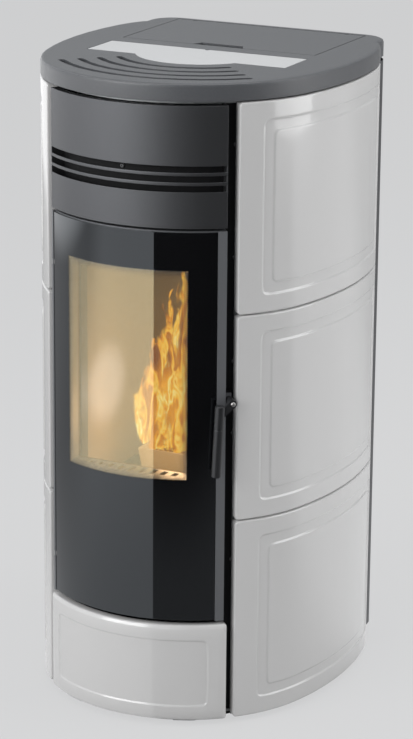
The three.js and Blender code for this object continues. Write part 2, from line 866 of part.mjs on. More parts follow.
function doorFrame() {
  const railLeft = glassFrom - glassEndGap;
  const railRight = glassTo + seat;
  const rails = [
    box(-columnHalf, railLeft, 0, doorDepth, doorBottom, doorTop),
    box(railRight, columnHalf, 0, doorDepth, doorBottom, doorTop),
  ];
  const face = box(-columnHalf + 1, columnHalf - 1, faceDepth, faceDepth + doorFace, doorBottom, doorTop);
  const lips = [
    box(-columnHalf + 1, columnHalf - 1, faceDepth, doorDepth - 6, doorTop - sheet, doorTop),
    box(-columnHalf + 1, columnHalf - 1, faceDepth, doorDepth - 6, doorBottom, doorBottom + sheet),
  ];
  const around = revealWall + seat;
  const hole = box(
    windowLeft - around,
    windowRight + around,
    frontY - 1,
    innerFrameY,
    windowBottom - around,
    windowTop + around,
  );
  const hollows = [
    box(-columnHalf + sheet, railLeft - sheet, faceDepth + doorFace, doorDepth + 1, doorBottom + sheet, doorTop - sheet),
    box(railRight + sheet, columnHalf - sheet, faceDepth + doorFace, doorDepth + 1, doorBottom + sheet, doorTop - sheet),
  ];
  const ear = box(
    columnHalf - 1,
    columnHalf + hubArc + hubRadius - 2,
    earFront,
    earFront + earThickness,
    hubHeight - 12,
    hubHeight + 12,
  );
  const curved = cut(wrap(cut(join(rails, face, lips, ear), hollows)), hole);
  const knuckles = hingeHeights.map((z) => {
    const eye = moved(rod(hingeKnuckle, 0, hingeKnuckleLength), hingeAt.x, hingeAt.y, z);
    return eye;
  });
  const bores = hingeHeights.map((z) =>
    moved(rod(hingePin + running, -1, hingeKnuckleLength + 1), hingeAt.x, hingeAt.y, z),
  );
  const reliefs = hingeHeights.map((z) =>
    moved(rod(hingeSweep, -hingeLeaf - 5, 0), hingeAt.x, hingeAt.y, z),
  );
  const wells = hingeHeights.map((z) =>
    moved(rod(hingeKnuckle + 1, 0, 6), hingeAt.x, hingeAt.y, z + hingeKnuckleLength),
  );
  const shaftHole = atHub(rod(latchShaft + running, -40, 40, "y", 14));
  return cut(join(curved, knuckles), bores, reliefs, wells, shaftHole);
}

const doorGlass = () =>
  wrap(
    plate(
      rectangle(glassFrom + seat, glassTo - seat, doorBottom + 2, doorTop - 2, 3),
      glassRecess,
      glassRecess + glassThickness,
      0.8,
      1,
    ),
  );

// The sheet funnel between the curved glass and the flat inner plate, with a slotted sill.
function windowReveal() {
  const left = windowLeft;
  const right = windowRight;
  const bottom = windowBottom;
  const top = windowTop;
  const w = revealWall;
  const back = innerFrameY - seat;
  const outer = box(left - w, right + w, frontY - 5, back, bottom - w, top + w);
  const inner = box(left, right, frontY - 6, back + 1, bottom, top);
  const behindGlass = prism(planShape(faceDepth), bottom - 20, top + 20);
  const slots = Array.from({ length: sillSlots }, (_, i) => {
    const x = (left + right) / 2 + (i - (sillSlots - 1) / 2) * sillSlotPitch;
    const length = sillSlotLength - Math.abs(i - (sillSlots - 1) / 2) * sillSlotTaper;
    const rear = back - sillSlotSetback;
    return box(x - sillSlotWidth / 2, x + sillSlotWidth / 2, rear - length, rear, bottom - w - 1, bottom + 1);
  });
  return cut(cut(outer, inner).intersect(behindGlass), slots);
}

const innerFrameBack = innerFrameY + thickSheet;
const innerHalf = outlinePoint(glassTo, doorDepth - 4).x - 2;
const innerBottom = doorBottom + 10;
const innerTop = doorTop - 30;
function doorInnerPlate() {
  const body = plate(rectangle(-innerHalf, innerHalf, innerBottom, innerTop, 6), innerFrameY, innerFrameBack, 0, 2);
  const hole = box(windowLeft, windowRight, innerFrameY - 1, innerFrameBack + 1, windowBottom, windowTop);
  return cut(body, hole);
}

function doorSeal() {
  const outer = [-mouthHalf - 13, mouthHalf + 13, mouthBottom - 6, mouthTop + 14];
  const inner = [outer[0] + ropeSize, outer[1] - ropeSize, outer[2] + ropeSize, outer[3] - ropeSize];
  const from = innerFrameBack + seat;
  const ring = plate(rectangle(...outer, 16), from, from + ropeSize, 2.5, 2);
  const open = plate(rectangle(...inner, 8), from - 1, from + ropeSize + 1, 0, 2);
  return cut(ring, open);
}
const boxFront = innerFrameBack + ropeSize + 2 * seat;

// The leaf that carries a hinge pin, fixed to the post.
function hingeLeafAt(z) {
  const from = -columnHalf - hingeArc;
  const arm = wrap(box(from - 9, from + 0.5, hingeDepth - 4, postDepth - seat, z - hingeLeaf, z - seat));
  const foot = wrap(box(from - 9, from + 0.5, postDepth - seat - 3, postDepth - seat, z - hingeLeaf - 16, z - seat));
  const eye = moved(rod(hingeKnuckle - 1, z - hingeLeaf, z - seat), hingeAt.x, hingeAt.y, 0);
  const bore = moved(rod(hingePin + seat, z - hingeLeaf - 1, z + 1), hingeAt.x, hingeAt.y, 0);
  return cut(join(arm, foot, eye), bore);
}

const hingePinAt = (z) =>
  moved(
    turned([
      [0, z - hingeLeaf - 3],
      [hingePin + 1.5, z - hingeLeaf - 3],
      [hingePin + 1.5, z - hingeLeaf - seat],
      [hingePin, z - hingeLeaf - seat],
      [hingePin, z + hingeKnuckleLength + 3],
      [0, z + hingeKnuckleLength + 3],
    ]),
    hingeAt.x,
    hingeAt.y,
    0,
  );

// ---------------------------------------------------------------- door handle and latch

const hubTurn = (columnHalf + hubArc) / frontRadius;
const hubAt = outlinePoint(columnHalf + hubArc);

// Places a solid made in the hub's own frame: x along the front, y inwards, z up.
function atHub(piece) {
  return piece.rotate([0, 0, hubTurn / degrees]).translate([hubAt.x, hubAt.y, hubHeight]);
}

// Turns a solid made round the grip's axis into the hub's frame.
const atGrip = (piece) => piece.rotate([0, gripTilt / degrees, 0]).translate([-gripSide, -gripStandOff, 0]);

function handleLever() {
  const barrel = rod(hubRadius, -hubFront, earFront - seat, "y", 16);
  const shaft = rod(latchShaft, earFront - 2, earFront + earThickness + 5, "y", 14);
  const cam = rod(hubRadius - 1, earFront + earThickness + seat, earFront + earThickness + 5, "y", 16);
  const flat = box(-20, -4, earFront + earThickness, earFront + 12, -20, 20);
  const arm = new THREE.Shape();
  const lean = Math.atan2(-armDrop, -gripSide);
  arm.absarc(0, 0, hubRadius, lean + Math.PI / 2, lean + Math.PI * 1.5);
  arm.absarc(-gripSide + 2, -armDrop, armFoot, lean - Math.PI / 2, lean + Math.PI / 2);
  const web = plate(arm, -armFront, armThickness - armFront, 0, 8);
  const barrelFront = rod(hubRadius, -armFront, -hubFront + 1, "y", 16);
  const head = atGrip(
    turned([
      [0, -gripHead],
      [gripRadius, -gripHead],
      [gripRadius, -1],
      [gripRadius - 1, 0],
      [0, 0],
    ]),
  );
  const screwHole = rod(boltShank + seat, -gripStandOff, -2, "y", 10);
  return atHub(cut(join(barrel, shaft, cut(cam, flat), web, barrelFront, head), screwHole));
}

const handleGrip = () =>
  atHub(
    atGrip(
      turned([
        [0, -gripLength],
        [gripRadius - 2, -gripLength],
        [gripRadius, -gripLength + 2],
        [gripRadius, -gripHead - 1],
        [gripRadius - 0.7, -gripHead - seat],
        [0, -gripHead - seat],
      ]),
    ),
  );

const handleBolt = () => {
  const front = -armFront;
  return atHub(
    turned(
      [
        [0, front - 4],
        [boltHead - 1.5, front - 4],
        [boltHead, front - 2.5],
        [boltHead, front - seat],
        [boltShank, front - seat],
        [boltShank, -3],
        [0, -3],
      ],
      "y",
      14,
    ),
  );
};

// The keeper behind the latch, fixed to the right post.
function latchKeeper() {
  const near = earFront + earThickness + 5 + seat;
  const from = columnHalf + 3;
  const to = sideTileFrom - 3;
  const pad = box(from, to, near, postDepth - seat, hubHeight - 14, hubHeight + 14);
  const waist = box(from - 1, to + 1, near + 1.5, postDepth - seat - 1.5, hubHeight - 8, hubHeight + 8);
  return wrap(cut(pad, cut(waist, box(from + 4, to - 4, near, postDepth, hubHeight - 9, hubHeight + 9))));
}

// ---------------------------------------------------------------- firebox

const drawerZ = mouthBottom + 1.3;
const igniterSleeve = 8;
const igniterTip = 5;
const igniterZ = shelfZ + boilerPlate + seat + 22;
function firebox() {
  const w = boilerPlate;
  const shell = box(-boxHalf, boxHalf, boxFront, boxRear, boxBottom, boxTop);
  const room = box(-boxHalf + w, boxHalf - w, boxFront + w, boxRear - w, boxBottom + w, boxTop - w);
  const mouth = box(-mouthHalf, mouthHalf, boxFront - 1, boxFront + w + 1, mouthBottom, mouthTop);
  const through = [boxRear - w - 1, boxRear + 1];
  const feed = box(-feedHalf, feedHalf, ...through, chuteZ[0] + feedGap[0], chuteZ[0] + feedGap[1]);
  const smoke = box(ductX[0] + 6, ductX[1] - 6, ...through, boxTop - smokeDrop[0], boxTop - smokeDrop[1]);
  const air = moved(rod(airRadius - 3, boxRear - w - 1, boxRear + 1, "y"), airX, 0, airZ);
  const sides = [-1, 1].map((side) => {
    const ends = [side * boxHalf, side * (boxHalf - w)].sort((a, b) => a - b);
    return box(ends[0], ends[1], -190, boxRear - 10, baseTop + seat, boxBottom + 1);
  });
  const runners = [-1, 1].map((side) => {
    const ends = [side * (boxHalf - w + 1), side * (ashHalf + 1.5)].sort((a, b) => a - b);
    return box(ends[0], ends[1], -215, ashRear, boxBottom + w - 1, drawerZ + 24);
  });
  const rails = [-1, 1].map((side) => {
    const ends = [side * (ashHalf - 30), side * (ashHalf - 42)].sort((a, b) => a - b);
    return box(ends[0], ends[1], boxFront + 1, ashRear, boxBottom + w - 1, drawerZ - seat);
  });
  const sleeve = moved(rod(igniterSleeve + seat, boxRear - w - 1, boxRear + 1, "y", 12), 0, 0, igniterZ);
  return cut(join(cut(shell, room), sides, runners, rails), mouth, feed, smoke, air, sleeve);
}

const roomHalf = boxHalf - boilerPlate - seat;
const shelfTop = shelfZ + boilerPlate;

// The tray that closes the firebox above the ash drawer and carries the burn pot.
function burnShelf() {
  const tray = box(-roomHalf, roomHalf, boxFront + 6, boxRear - boilerPlate - seat, shelfZ, shelfTop);
  const hole = box(-potHalf + 12, potHalf - 12, potY - potHalf + 12, potY + potHalf - 12, shelfZ - 1, shelfTop + 1);
  const legs = [-1, 1].map((side) => {
    const ends = [side * roomHalf, side * (roomHalf - 8)].sort((a, b) => a - b);
    return box(ends[0], ends[1], -205, -160, drawerZ + 24 + seat, shelfZ + 1);
  });
  const rearLegs = [-1, 1].map((side) => {
    const ends = [side * roomHalf, side * (roomHalf - 8)].sort((a, b) => a - b);
    return box(ends[0], ends[1], 12, 40, boxBottom + boilerPlate + seat, shelfZ + 1);
  });
  return cut(join(tray, legs, rearLegs), hole);
}

const sideLiner = (side) => {
  const ends = [side * roomHalf, side * (roomHalf - linerThickness)].sort((a, b) => a - b);
  const rear = boxRear - boilerPlate - linerThickness - 2 * seat;
  return box(ends[0], ends[1], linerFront, rear, shelfTop + seat, linerTop);
};

function backLiner() {
  const rear = boxRear - boilerPlate - seat;
  const slab = box(-roomHalf, roomHalf, rear - linerThickness, rear, shelfTop + seat, linerTop);
  const chute = box(2 - feedHalf, feedHalf - 2, 0, boxRear, chuteZ[0] + feedGap[0] + 2, chuteZ[0] + feedGap[1] - 2);
  return cut(slab, chute, moved(rod(igniterSleeve + seat, 0, boxRear, "y", 12), 0, 0, igniterZ));
}

// The baffle above the fire, resting on the liners, with its smoke gap at the front.
function baffle() {
  const rear = boxRear - boilerPlate - seat;
  const top = linerTop + baffleThickness;
  const [radius, pitch, y] = baffleHole;
  const slab = box(-roomHalf, roomHalf, baffleFront, rear, linerTop + seat, top);
  const holes = [-1, 0, 1].map((i) => moved(rod(radius, linerTop, top + 1, "z", 10), i * pitch, y, 0));
  return cut(slab, holes);
}

// The burn pot: a tapered cup with a flange, rows of air holes and a perforated floor.
function burnPot() {
  const z = shelfTop + seat;
  const top = z + potHeight;
  const h = potHalf;
  const outer = funnel([
    [z, -h + 8, h - 8, potY - h + 8, potY + h - 8],
    [top, -h, h, potY - h, potY + h],
  ]);
  const inner = funnel([
    [z + 5, -h + 12, h - 12, potY - h + 12, potY + h - 12],
    [top + 1, -h + 4, h - 4, potY - h + 4, potY + h - 4],
  ]);
  const floor = [];
  for (const x of [-24, 0, 24])
    for (const y of [-24, 0, 24]) floor.push(moved(rod(4, z - 1, z + 6, "z", 8), x, potY + y, 0));
  const igniterHole = moved(rod(igniterTip + seat, potY, potY + h + 5, "y", 12), 0, 0, igniterZ);
  return cut(outer, inner, floor, igniterHole);
}

// The igniter cartridge: its tip in the burn pot and its sleeve out through the rear wall.
const igniter = () =>
  moved(
    turned(
      [
        [0, potY + potHalf - 9],
        [igniterTip, potY + potHalf - 9],
        [igniterTip, potY + potHalf + 12],
        [igniterSleeve, potY + potHalf + 12],
        [igniterSleeve, boxRear + 20],
        [0, boxRear + 20],
      ],
      "y",
      12,
    ),
    0,
    0,
    igniterZ,
  );

function ashDrawer() {
  const wall = thinSheet;
  const rim = drawerZ + ashHeight;
  const outer = box(-ashHalf, ashHalf, ashFront, ashRear, drawerZ, rim);
  const inner = box(-ashHalf + wall, ashHalf - wall, ashFront + wall, ashRear - wall, drawerZ + wall, rim + 1);
  const pull = box(-35, 35, ashFront - 5, ashFront + 1, drawerZ + 58, drawerZ + 61);
  const pullLip = box(-35, 35, ashFront - 5, ashFront - 3, drawerZ + 48, drawerZ + 61);
  return join(cut(outer, inner), pull, pullLip);
}

// ---------------------------------------------------------------- pellet feed

function pelletHopper() {
  const w = thinSheet;
  const upright = hopperRimZ - hopperStraight;
  const [bendDrop, bendHalf, bendFrom, bendTo] = hopperBend;
  const bendZ = upright - bendDrop;
  const levels = (inset) => [
    [hopperThroatZ - (inset ? 5 : 0), -throatHalf + inset, throatHalf - inset, throatY[0] + inset, throatY[1] - inset],
    [hopperThroatZ + 20, -throatHalf + inset, throatHalf - inset, throatY[0] + inset, throatY[1] - inset],
    [bendZ, -bendHalf + inset, bendHalf - inset, bendFrom + inset, bendTo - inset],
    [upright, -hopperHalf + inset, hopperHalf - inset, hopperY[0] + inset, hopperY[1] - inset],
    [hopperRimZ + (inset ? 5 : 0), -hopperHalf + inset, hopperHalf - inset, hopperY[0] + inset, hopperY[1] - inset],
  ];
  const rim = box(-hopperHalf - 11, hopperHalf + 11, hopperY[0] - 7, hopperY[1] + 7, hopperRimZ - sheet, hopperRimZ);
  const lugs = [-1, 1].map((side) => {
    const ends = [side * (hopperHalf - 1), side * (frameOpening[0] + 14)].sort((a, b) => a - b);
    return box(ends[0], ends[1], hopperLug[0], hopperLug[1], frameTop + seat, frameTop + seat + sheet);
  });
  return cut(join(funnel(levels(0)), rim, lugs), funnel(levels(w)));
}

const lidSeal = () => {
  const top = heightAll - thickSheet - seat;
  const outer = box(-hopperHalf - 8, hopperHalf + 8, hopperY[0] - 4, hopperY[1] + 4, hopperRimZ + seat, top);
  return cut(outer, box(-hopperHalf, hopperHalf, hopperY[0] + 4, hopperY[1] - 4, hopperRimZ, top + 1));
};

// Places a solid made along +Z onto the auger's axis, which climbs towards the front.
function onAuger(piece) {
  return piece.rotate([augerTilt / degrees, 0, 0]).translate([0, augerFoot[0], augerFoot[1]]);
}

function augerTube() {
  const w = 2;
  const front = boxRear + seat;
  const shellOf = (inset) =>
    join(
      onAuger(rod(augerRadius - inset, inset ? -5 : 0, augerLength - inset, "z", 18)),
      box(
        -throatHalf + inset,
        throatHalf - inset,
        throatY[0] + inset,
        throatY[1] - inset,
        chuteFloor + inset,
        hopperThroatZ - seat + (inset ? 5 : 0),
      ),
      box(
        -augerRadius - 4 + inset,
        augerRadius + 4 - inset,
        front - (inset ? 5 : 0),
        chuteRear - inset,
        chuteZ[0] + inset,
        chuteZ[1] - inset,
      ),
    );
  return cut(shellOf(0), shellOf(w));
}

// The screw: a flight that winds round its shaft.
function augerScrew() {
  const from = 12;
  const turns = 3.4;
  const steps = 32;
  const half = 1.5;
  const positions = [];
  for (let i = 0; i <= steps; i++) {
    const angle = (i / steps) * turns * 2 * Math.PI;
    const z = from + (i / steps) * turns * flightPitch;
    for (const [r, dz] of [
      [augerShaft - 2, -half],
      [flightRadius, -half],
      [flightRadius, half],
      [augerShaft - 2, half],
    ])
      positions.push(r * Math.cos(angle), r * Math.sin(angle), z + dz);
  }
  const faces = [0, 2, 1, 0, 3, 2];
  for (let i = 0; i < steps; i++)
    for (let side = 0; side < 4; side++) {
      const a = i * 4 + side;
      const b = i * 4 + ((side + 1) % 4);
      faces.push(a, b, b + 4, a, b + 4, a + 4);
    }
  const last = steps * 4;
  faces.push(last, last + 1, last + 2, last, last + 2, last + 3);
  const geometry = new THREE.BufferGeometry();
  geometry.setAttribute("position", new THREE.Float32BufferAttribute(positions, 3));
  geometry.setIndex(faces);
  return onAuger(join(solid(geometry), rod(augerShaft, -14, augerLength - 6, "z", 12)));
}

// The gear motor on the lower end of the auger tube.
function gearMotor() {
  const gearbox = box(-34, 34, -30, 30, -30, -seat);
  const can = rod(26, -62, -29, "z", 18);
  const bore = rod(augerShaft + seat, -20, 1, "z", 12);
  return onAuger(cut(join(gearbox, can), bore));
}

// ---------------------------------------------------------------- smoke path and air

function smokeDuct() {
  const [left, right] = ductX;
  const front = boxRear + seat;
  const back = front + ductDepth;
  const outer = box(left, right, front, back, ductBottom, boxTop - 8);
  const inner = box(left + 2, right - 2, front + 2, back - 2, ductBottom + 2, boxTop - 10);
  const entry = box(left + 6, right - 6, front - 1, front + 3, boxTop - smokeDrop[0], boxTop - smokeDrop[1]);
  const exit = moved(rod(fanEye, back - 3, back + 1, "y", 20), fanX, 0, fanZ);
  return cut(outer, inner, entry, exit);
}

const fanFront = boxRear + seat + ductDepth + seat;
const fanBack = fanFront + fanDepth;
const outletZ = [flueZ - 22, fanZ + fanHousing - 2];
const outletEnd = flueX - flueRadius - 8;

// The snail housing of the smoke fan, with its outlet towards the flue collar.
function fanHousingShell() {
  const w = 2;
  const part = (inset) =>
    join(
      moved(rod(fanHousing - inset, fanFront + inset, fanBack - inset, "y", 20), fanX, 0, fanZ),
      box(fanX, outletEnd + (inset ? 5 : 0), fanFront + inset, fanBack - inset, outletZ[0] + inset, outletZ[1] - inset),
    );
  const eye = moved(rod(fanEye, fanFront - 1, fanFront + 3, "y", 20), fanX, 0, fanZ);
  const shaft = moved(rod(7, fanBack - 3, fanBack + 1, "y", 12), fanX, 0, fanZ);
  return cut(part(0), part(w), eye, shaft);
}

function fanImpeller() {
  const back = fanBack - 6;
  const disc = rod(impellerRadius, back - 2, back, "y", 20);
  const hub = rod(12, back - 14, back, "y", 14);
  const shaft = rod(4, back - 1, fanBack + 12, "y", 12);
  const blades = Array.from({ length: impellerBlades }, (_, i) => {
    const blade = box(34, impellerRadius - 1, fanFront + 8, back - 1, -1, 1);
    return blade.rotate([0, 28, 0]).translate([-6, 0, 14]).rotate([0, (i * 360) / impellerBlades, 0]);
  });
  return moved(join(disc, hub, shaft, blades), fanX, 0, fanZ);
}

const fanMotorBody = () => {
  const front = fanBack + seat;
  const can = turned(
    [
      [0, front],
      [fanMotor, front],
      [fanMotor, front + 40],
      [fanMotor - 8, front + 52],
      [0, front + 52],
    ],
    "y",
    20,
  );
  return moved(cut(can, rod(4 + seat, front - 1, front + 16, "y", 12)), fanX, 0, fanZ);
};

// The collar that leads the smoke from the fan out through the rear panel.
function flueCollar() {
  const end = rearY + flueReach;
  const from = fanFront - 4;
  const part = (inset) =>
    join(
      moved(rod(flueRadius - inset, from + inset, end + (inset ? 5 : 0), "y", 20), flueX, 0, flueZ),
      box(
        outletEnd + seat - (inset ? 5 : 0),
        flueX,
        fanFront + inset,
        fanBack - inset,
        outletZ[0] + inset,
        outletZ[1] - inset,
      ),
    );
  return cut(part(0), part(thinSheet));
}

const airIntake = () =>
  moved(pipe(airRadius, airRadius - thinSheet, boxRear + seat, rearY + airReach, "y", 18), airX, 0, airZ);

// ---------------------------------------------------------------- rear panel and inlet

function rearPanel() {
  const z0 = rearPanelBottom;
  const front = tailEnd.y + 5;
  const outer = new THREE.Shape();
  const ring = (inset, start) => {
    const half = blockHalf - inset;
    const rear = rearY - inset;
    const corner = blockCorner - inset;
    const points = [new THREE.Vector2(half, start)];
    for (let step = 0; step <= 6; step++) {
      const angle = (step / 6) * (Math.PI / 2);
      points.push(
        new THREE.Vector2(half - corner + corner * Math.cos(angle), rear - corner + corner * Math.sin(angle)),
      );
    }
    return [...points, ...points.map((p) => new THREE.Vector2(-p.x, p.y)).reverse()];
  };
  outer.setFromPoints([...ring(0, front), ...ring(thinSheet, front).reverse()]);
  const skin = prism(outer, z0, fasciaTop);
  const returns = [-1, 1].map((side) => {
    const ends = [side * (blockHalf - 0.5), side * (blockHalf - 26)].sort((a, b) => a - b);
    return box(ends[0], ends[1], front, front + thinSheet, z0, fasciaTop);
  });
  const flue = moved(rod(flueRadius + 2, rearY - 9, rearY + 5, "y", 20), flueX, 0, flueZ);
  const air = moved(rod(airRadius + 2, rearY - 9, rearY + 5, "y", 18), airX, 0, airZ);
  const [w, h] = inletSize;
  const inlet = box(inletX - w / 2 + 2, inletX + w / 2 - 2, rearY - 9, rearY + 5, inletZ - h / 2 + 2, inletZ + h / 2 - 2);
  const slots = [];
  for (const x of grilleX)
    for (let row = 0; row < grilleRows; row++) {
      const z = grilleBottom + row * grillePitch;
      slots.push(box(x - grilleSlot[0] / 2, x + grilleSlot[0] / 2, rearY - 9, rearY + 5, z, z + grilleSlot[1]));
    }
  return cut(join(skin, returns), flue, air, inlet, slots);
}

const switchX = inletX + 16;
const switchHalf = [6, 9];
// The mains inlet with its pocket for the switch. Its flange lies on the rear panel.
function powerInlet() {
  const [w, h] = inletSize;
  const flange = plate(
    rectangle(inletX - w / 2, inletX + w / 2, inletZ - h / 2, inletZ + h / 2, 3),
    rearY + seat,
    rearY + seat + 2.5,
    0,
    2,
  );
  const body = box(
    inletX - w / 2 + 3,
    inletX + w / 2 - 3,
    rearY - 22,
    rearY + 1,
    inletZ - h / 2 + 3,
    inletZ + h / 2 - 3,
  );
  const socket = box(inletX - 21, inletX + 5, rearY - 16, rearY + 5, inletZ - 10, inletZ + 10);
  const pins = [-8, 0, 8].map((dx) => box(inletX - 9 + dx, inletX - 7 + dx, rearY - 17, rearY - 3, inletZ - 2, inletZ + 2));
  const [sx, sz] = switchHalf;
  const pocket = box(switchX - sx - 0.6, switchX + sx + 0.6, rearY - 12, rearY + 5, inletZ - sz - 0.6, inletZ + sz + 0.6);
  return join(cut(join(flange, body), socket, pocket), pins);
}

// The rocker of the mains switch, shown switched off.
const rockerAxisY = rearY - 6;
function powerSwitch() {
  const [sx, sz] = switchHalf;
  const shape = new THREE.Shape();
  shape.moveTo(-sz + 0.5, 0);
  shape.lineTo(-4, -4);
  shape.lineTo(4, -4);
  shape.lineTo(sz - 0.5, 0);
  shape.lineTo(sz - 1.8, 8);
  shape.lineTo(0, 6.5);
  shape.lineTo(-sz + 1.8, 10.5);
  const geometry = new THREE.ExtrudeGeometry(shape, { depth: 2 * sx, bevelEnabled: false });
  geometry.translate(0, 0, -sx);
  geometry.rotateY(-Math.PI / 2);
  return moved(solid(geometry), switchX, rockerAxisY, inletZ);
}

// ---------------------------------------------------------------- the assembly

const structure = new THREE.Group();
stove.add(structure);
add("base_plate", basePlate(), zinc, structure);
for (const [name, x, y] of footPlaces()) {
  const foot = add("foot_" + name, levellingFoot(), rubber, structure);
  foot.position.set(x, y, 0);
}
for (const [name, side] of [
  ["left", -1],
  ["right", 1],
]) {
  add("post_" + name, post(side), blackPaint, structure);
  add("side_carrier_" + name, sideCarrier(side), zinc, structure);
}
add("top_frame", topFrame(), zinc, structure);
add("rear_panel", rearPanel(), anthracite, structure);

const tiles = new THREE.Group();
stove.add(tiles);
for (const [name, side] of [
  ["left", -1],
  ["right", 1],
])
  ["lower", "middle", "upper"].forEach((row, i) => add(`side_tile_${name}_${row}`, sideTile(side, i), glaze, tiles));
add("base_tile", baseTile(), glaze, tiles);

const top = new THREE.Group();
stove.add(top);
add("top_plate", topPlate(), castIron, top);
add("control_cover", controlCover(), paleGlaze, top);
add("control_panel", controlPanel(), plastic, top);
add("hopper_lid", hopperLid(), anthracite, top);
add("lid_hinge_rod", moved(rod(lidRodRadius, -lidRodHalf, lidRodHalf, "x", 12), 0, rodY, rodZ), steel, top);
add("lid_seal", lidSeal(), rubber, top);

const front = new THREE.Group();
stove.add(front);
add("upper_fascia", upperFascia(), anthracite, front);
add("fascia_backplate", fasciaBackplate(), blackPaint, front);

const door = new THREE.Group();
stove.add(door);
add("door_frame", doorFrame(), anthracite, door);
add("door_glass", doorGlass(), blackGlass, door);
add("window_reveal", windowReveal(), steel, door);
add("door_inner_plate", doorInnerPlate(), blackPaint, door);
add("door_seal", doorSeal(), rope, door);
add("handle_lever", handleLever(), anthracite, door);
add("handle_grip", handleGrip(), anthracite, door);
add("handle_bolt", handleBolt(), steel, door);
add("latch_keeper", latchKeeper(), blackPaint, front);
for (const [name, z] of [
  ["lower", hingeHeights[0]],
  ["upper", hingeHeights[1]],
]) {
  add("hinge_leaf_" + name, hingeLeafAt(z), blackPaint, front);
  add("hinge_pin_" + name, hingePinAt(z), steel, front);
}

const fire = new THREE.Group();
stove.add(fire);
add("firebox", firebox(), blackPaint, fire);
add("burn_shelf", burnShelf(), castIron, fire);
add("liner_back", backLiner(), refractory, fire);
add("liner_left", sideLiner(-1), refractory, fire);
add("liner_right", sideLiner(1), refractory, fire);
add("baffle", baffle(), refractory, fire);
add("burn_pot", burnPot(), castIron, fire);
add("igniter", igniter(), steel, fire);
add("ash_drawer", ashDrawer(), steel, fire);

const feed = new THREE.Group();
stove.add(feed);
add("pellet_hopper", pelletHopper(), zinc, feed);
add("auger_tube", augerTube(), zinc, feed);
add("auger_screw", augerScrew(), steel, feed);
add("gear_motor", gearMotor(), zinc, feed);

const smoke = new THREE.Group();
stove.add(smoke);
add("smoke_duct", smokeDuct(), zinc, smoke);
add("fan_housing", fanHousingShell(), zinc, smoke);
add("fan_impeller", fanImpeller(), steel, smoke);
add("fan_motor", fanMotorBody(), blackPaint, smoke);
add("flue_collar", flueCollar(), blackPaint, smoke);
add("air_intake", airIntake(), zinc, smoke);
add("power_inlet", powerInlet(), plastic, smoke);
add("power_switch", powerSwitch(), plastic, smoke);

export default stove;
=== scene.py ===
# %% [markdown]
# # A tiled pellet stove, dressed for its picture
#
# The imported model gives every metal, glass and ceramic part its place and size. This
# lesson adds what the solids leave out: finishes, soft glazed edges, the fire, the
# pellets, the door rope and the small screws. It is meant to be read from top to bottom,
# and each cell says what it made.

# %% Load the model
import json
import math

import bmesh
import bpy
import numpy as np
from mathutils import Matrix, Vector


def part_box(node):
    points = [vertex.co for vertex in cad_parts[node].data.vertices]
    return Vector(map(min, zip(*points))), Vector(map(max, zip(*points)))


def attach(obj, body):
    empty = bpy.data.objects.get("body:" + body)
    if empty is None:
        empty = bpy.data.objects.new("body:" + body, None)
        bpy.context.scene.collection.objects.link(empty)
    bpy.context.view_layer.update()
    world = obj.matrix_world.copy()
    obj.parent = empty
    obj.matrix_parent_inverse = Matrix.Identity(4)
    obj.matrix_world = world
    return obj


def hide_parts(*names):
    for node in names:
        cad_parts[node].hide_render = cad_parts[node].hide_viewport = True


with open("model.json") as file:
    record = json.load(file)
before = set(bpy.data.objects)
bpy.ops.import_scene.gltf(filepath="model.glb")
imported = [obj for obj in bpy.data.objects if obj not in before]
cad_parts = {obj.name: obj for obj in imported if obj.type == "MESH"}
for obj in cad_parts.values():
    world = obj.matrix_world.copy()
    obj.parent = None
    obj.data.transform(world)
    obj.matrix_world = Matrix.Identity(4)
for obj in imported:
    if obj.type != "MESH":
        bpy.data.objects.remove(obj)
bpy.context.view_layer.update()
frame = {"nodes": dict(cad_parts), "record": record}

nodes = frame["nodes"]
print("parts loaded:", len(nodes))

# %% [markdown]
# ## The plan outline
#
# The front, the flanks and the tail of the stove are three arcs that run into one
# another. Everything curved on it follows that outline, so one function that turns
# a length along the outline and a depth behind it into x and y serves the tiles, the
# glass and the small parts. The arcs could also be a curve object to sample, but the
# formula is exact and works on whole arrays of numbers at once.

# %% The outline as a function
MM = 0.001
FRONT_Y = -318.5 * MM
FRONT_RADIUS, FLANK_RADIUS, TAIL_RADIUS = 264 * MM, 595 * MM, 203 * MM
FLANK_TURN, TAIL_TURN = math.radians(74.5), math.radians(102.5)
FRONT_ARC = FRONT_RADIUS * FLANK_TURN
FLANK_ARC = FLANK_RADIUS * (TAIL_TURN - FLANK_TURN)


def normal_at(turn):
    return np.array([np.sin(turn), -np.cos(turn)])


front_centre = np.array([0, FRONT_Y + FRONT_RADIUS])
flank_centre = front_centre + (FRONT_RADIUS - FLANK_RADIUS) * normal_at(FLANK_TURN)
tail_centre = flank_centre + (FLANK_RADIUS - TAIL_RADIUS) * normal_at(TAIL_TURN)


def on_outline(along, depth):
    """x and y of points at lengths along the outline and depths behind it, in metres."""
    run, side = np.abs(along), np.where(np.asarray(along) < 0, -1.0, 1.0)
    arcs = [run <= FRONT_ARC, run > FRONT_ARC + FLANK_ARC]

    def by_arc(front, tail, flank):
        return np.select(arcs, [front, tail], flank)

    turn = by_arc(
        run / FRONT_RADIUS,
        TAIL_TURN + (run - FRONT_ARC - FLANK_ARC) / TAIL_RADIUS,
        FLANK_TURN + (run - FRONT_ARC) / FLANK_RADIUS,
    )
    radius = by_arc(FRONT_RADIUS, TAIL_RADIUS, FLANK_RADIUS) - depth
    centre = [by_arc(*places) for places in zip(front_centre, tail_centre, flank_centre)]
    out = normal_at(turn)
    return side * (centre[0] + radius * out[0]), centre[1] + radius * out[1]


print("front arc", round(FRONT_ARC, 4), "m, flank arc", round(FLANK_ARC, 4), "m")

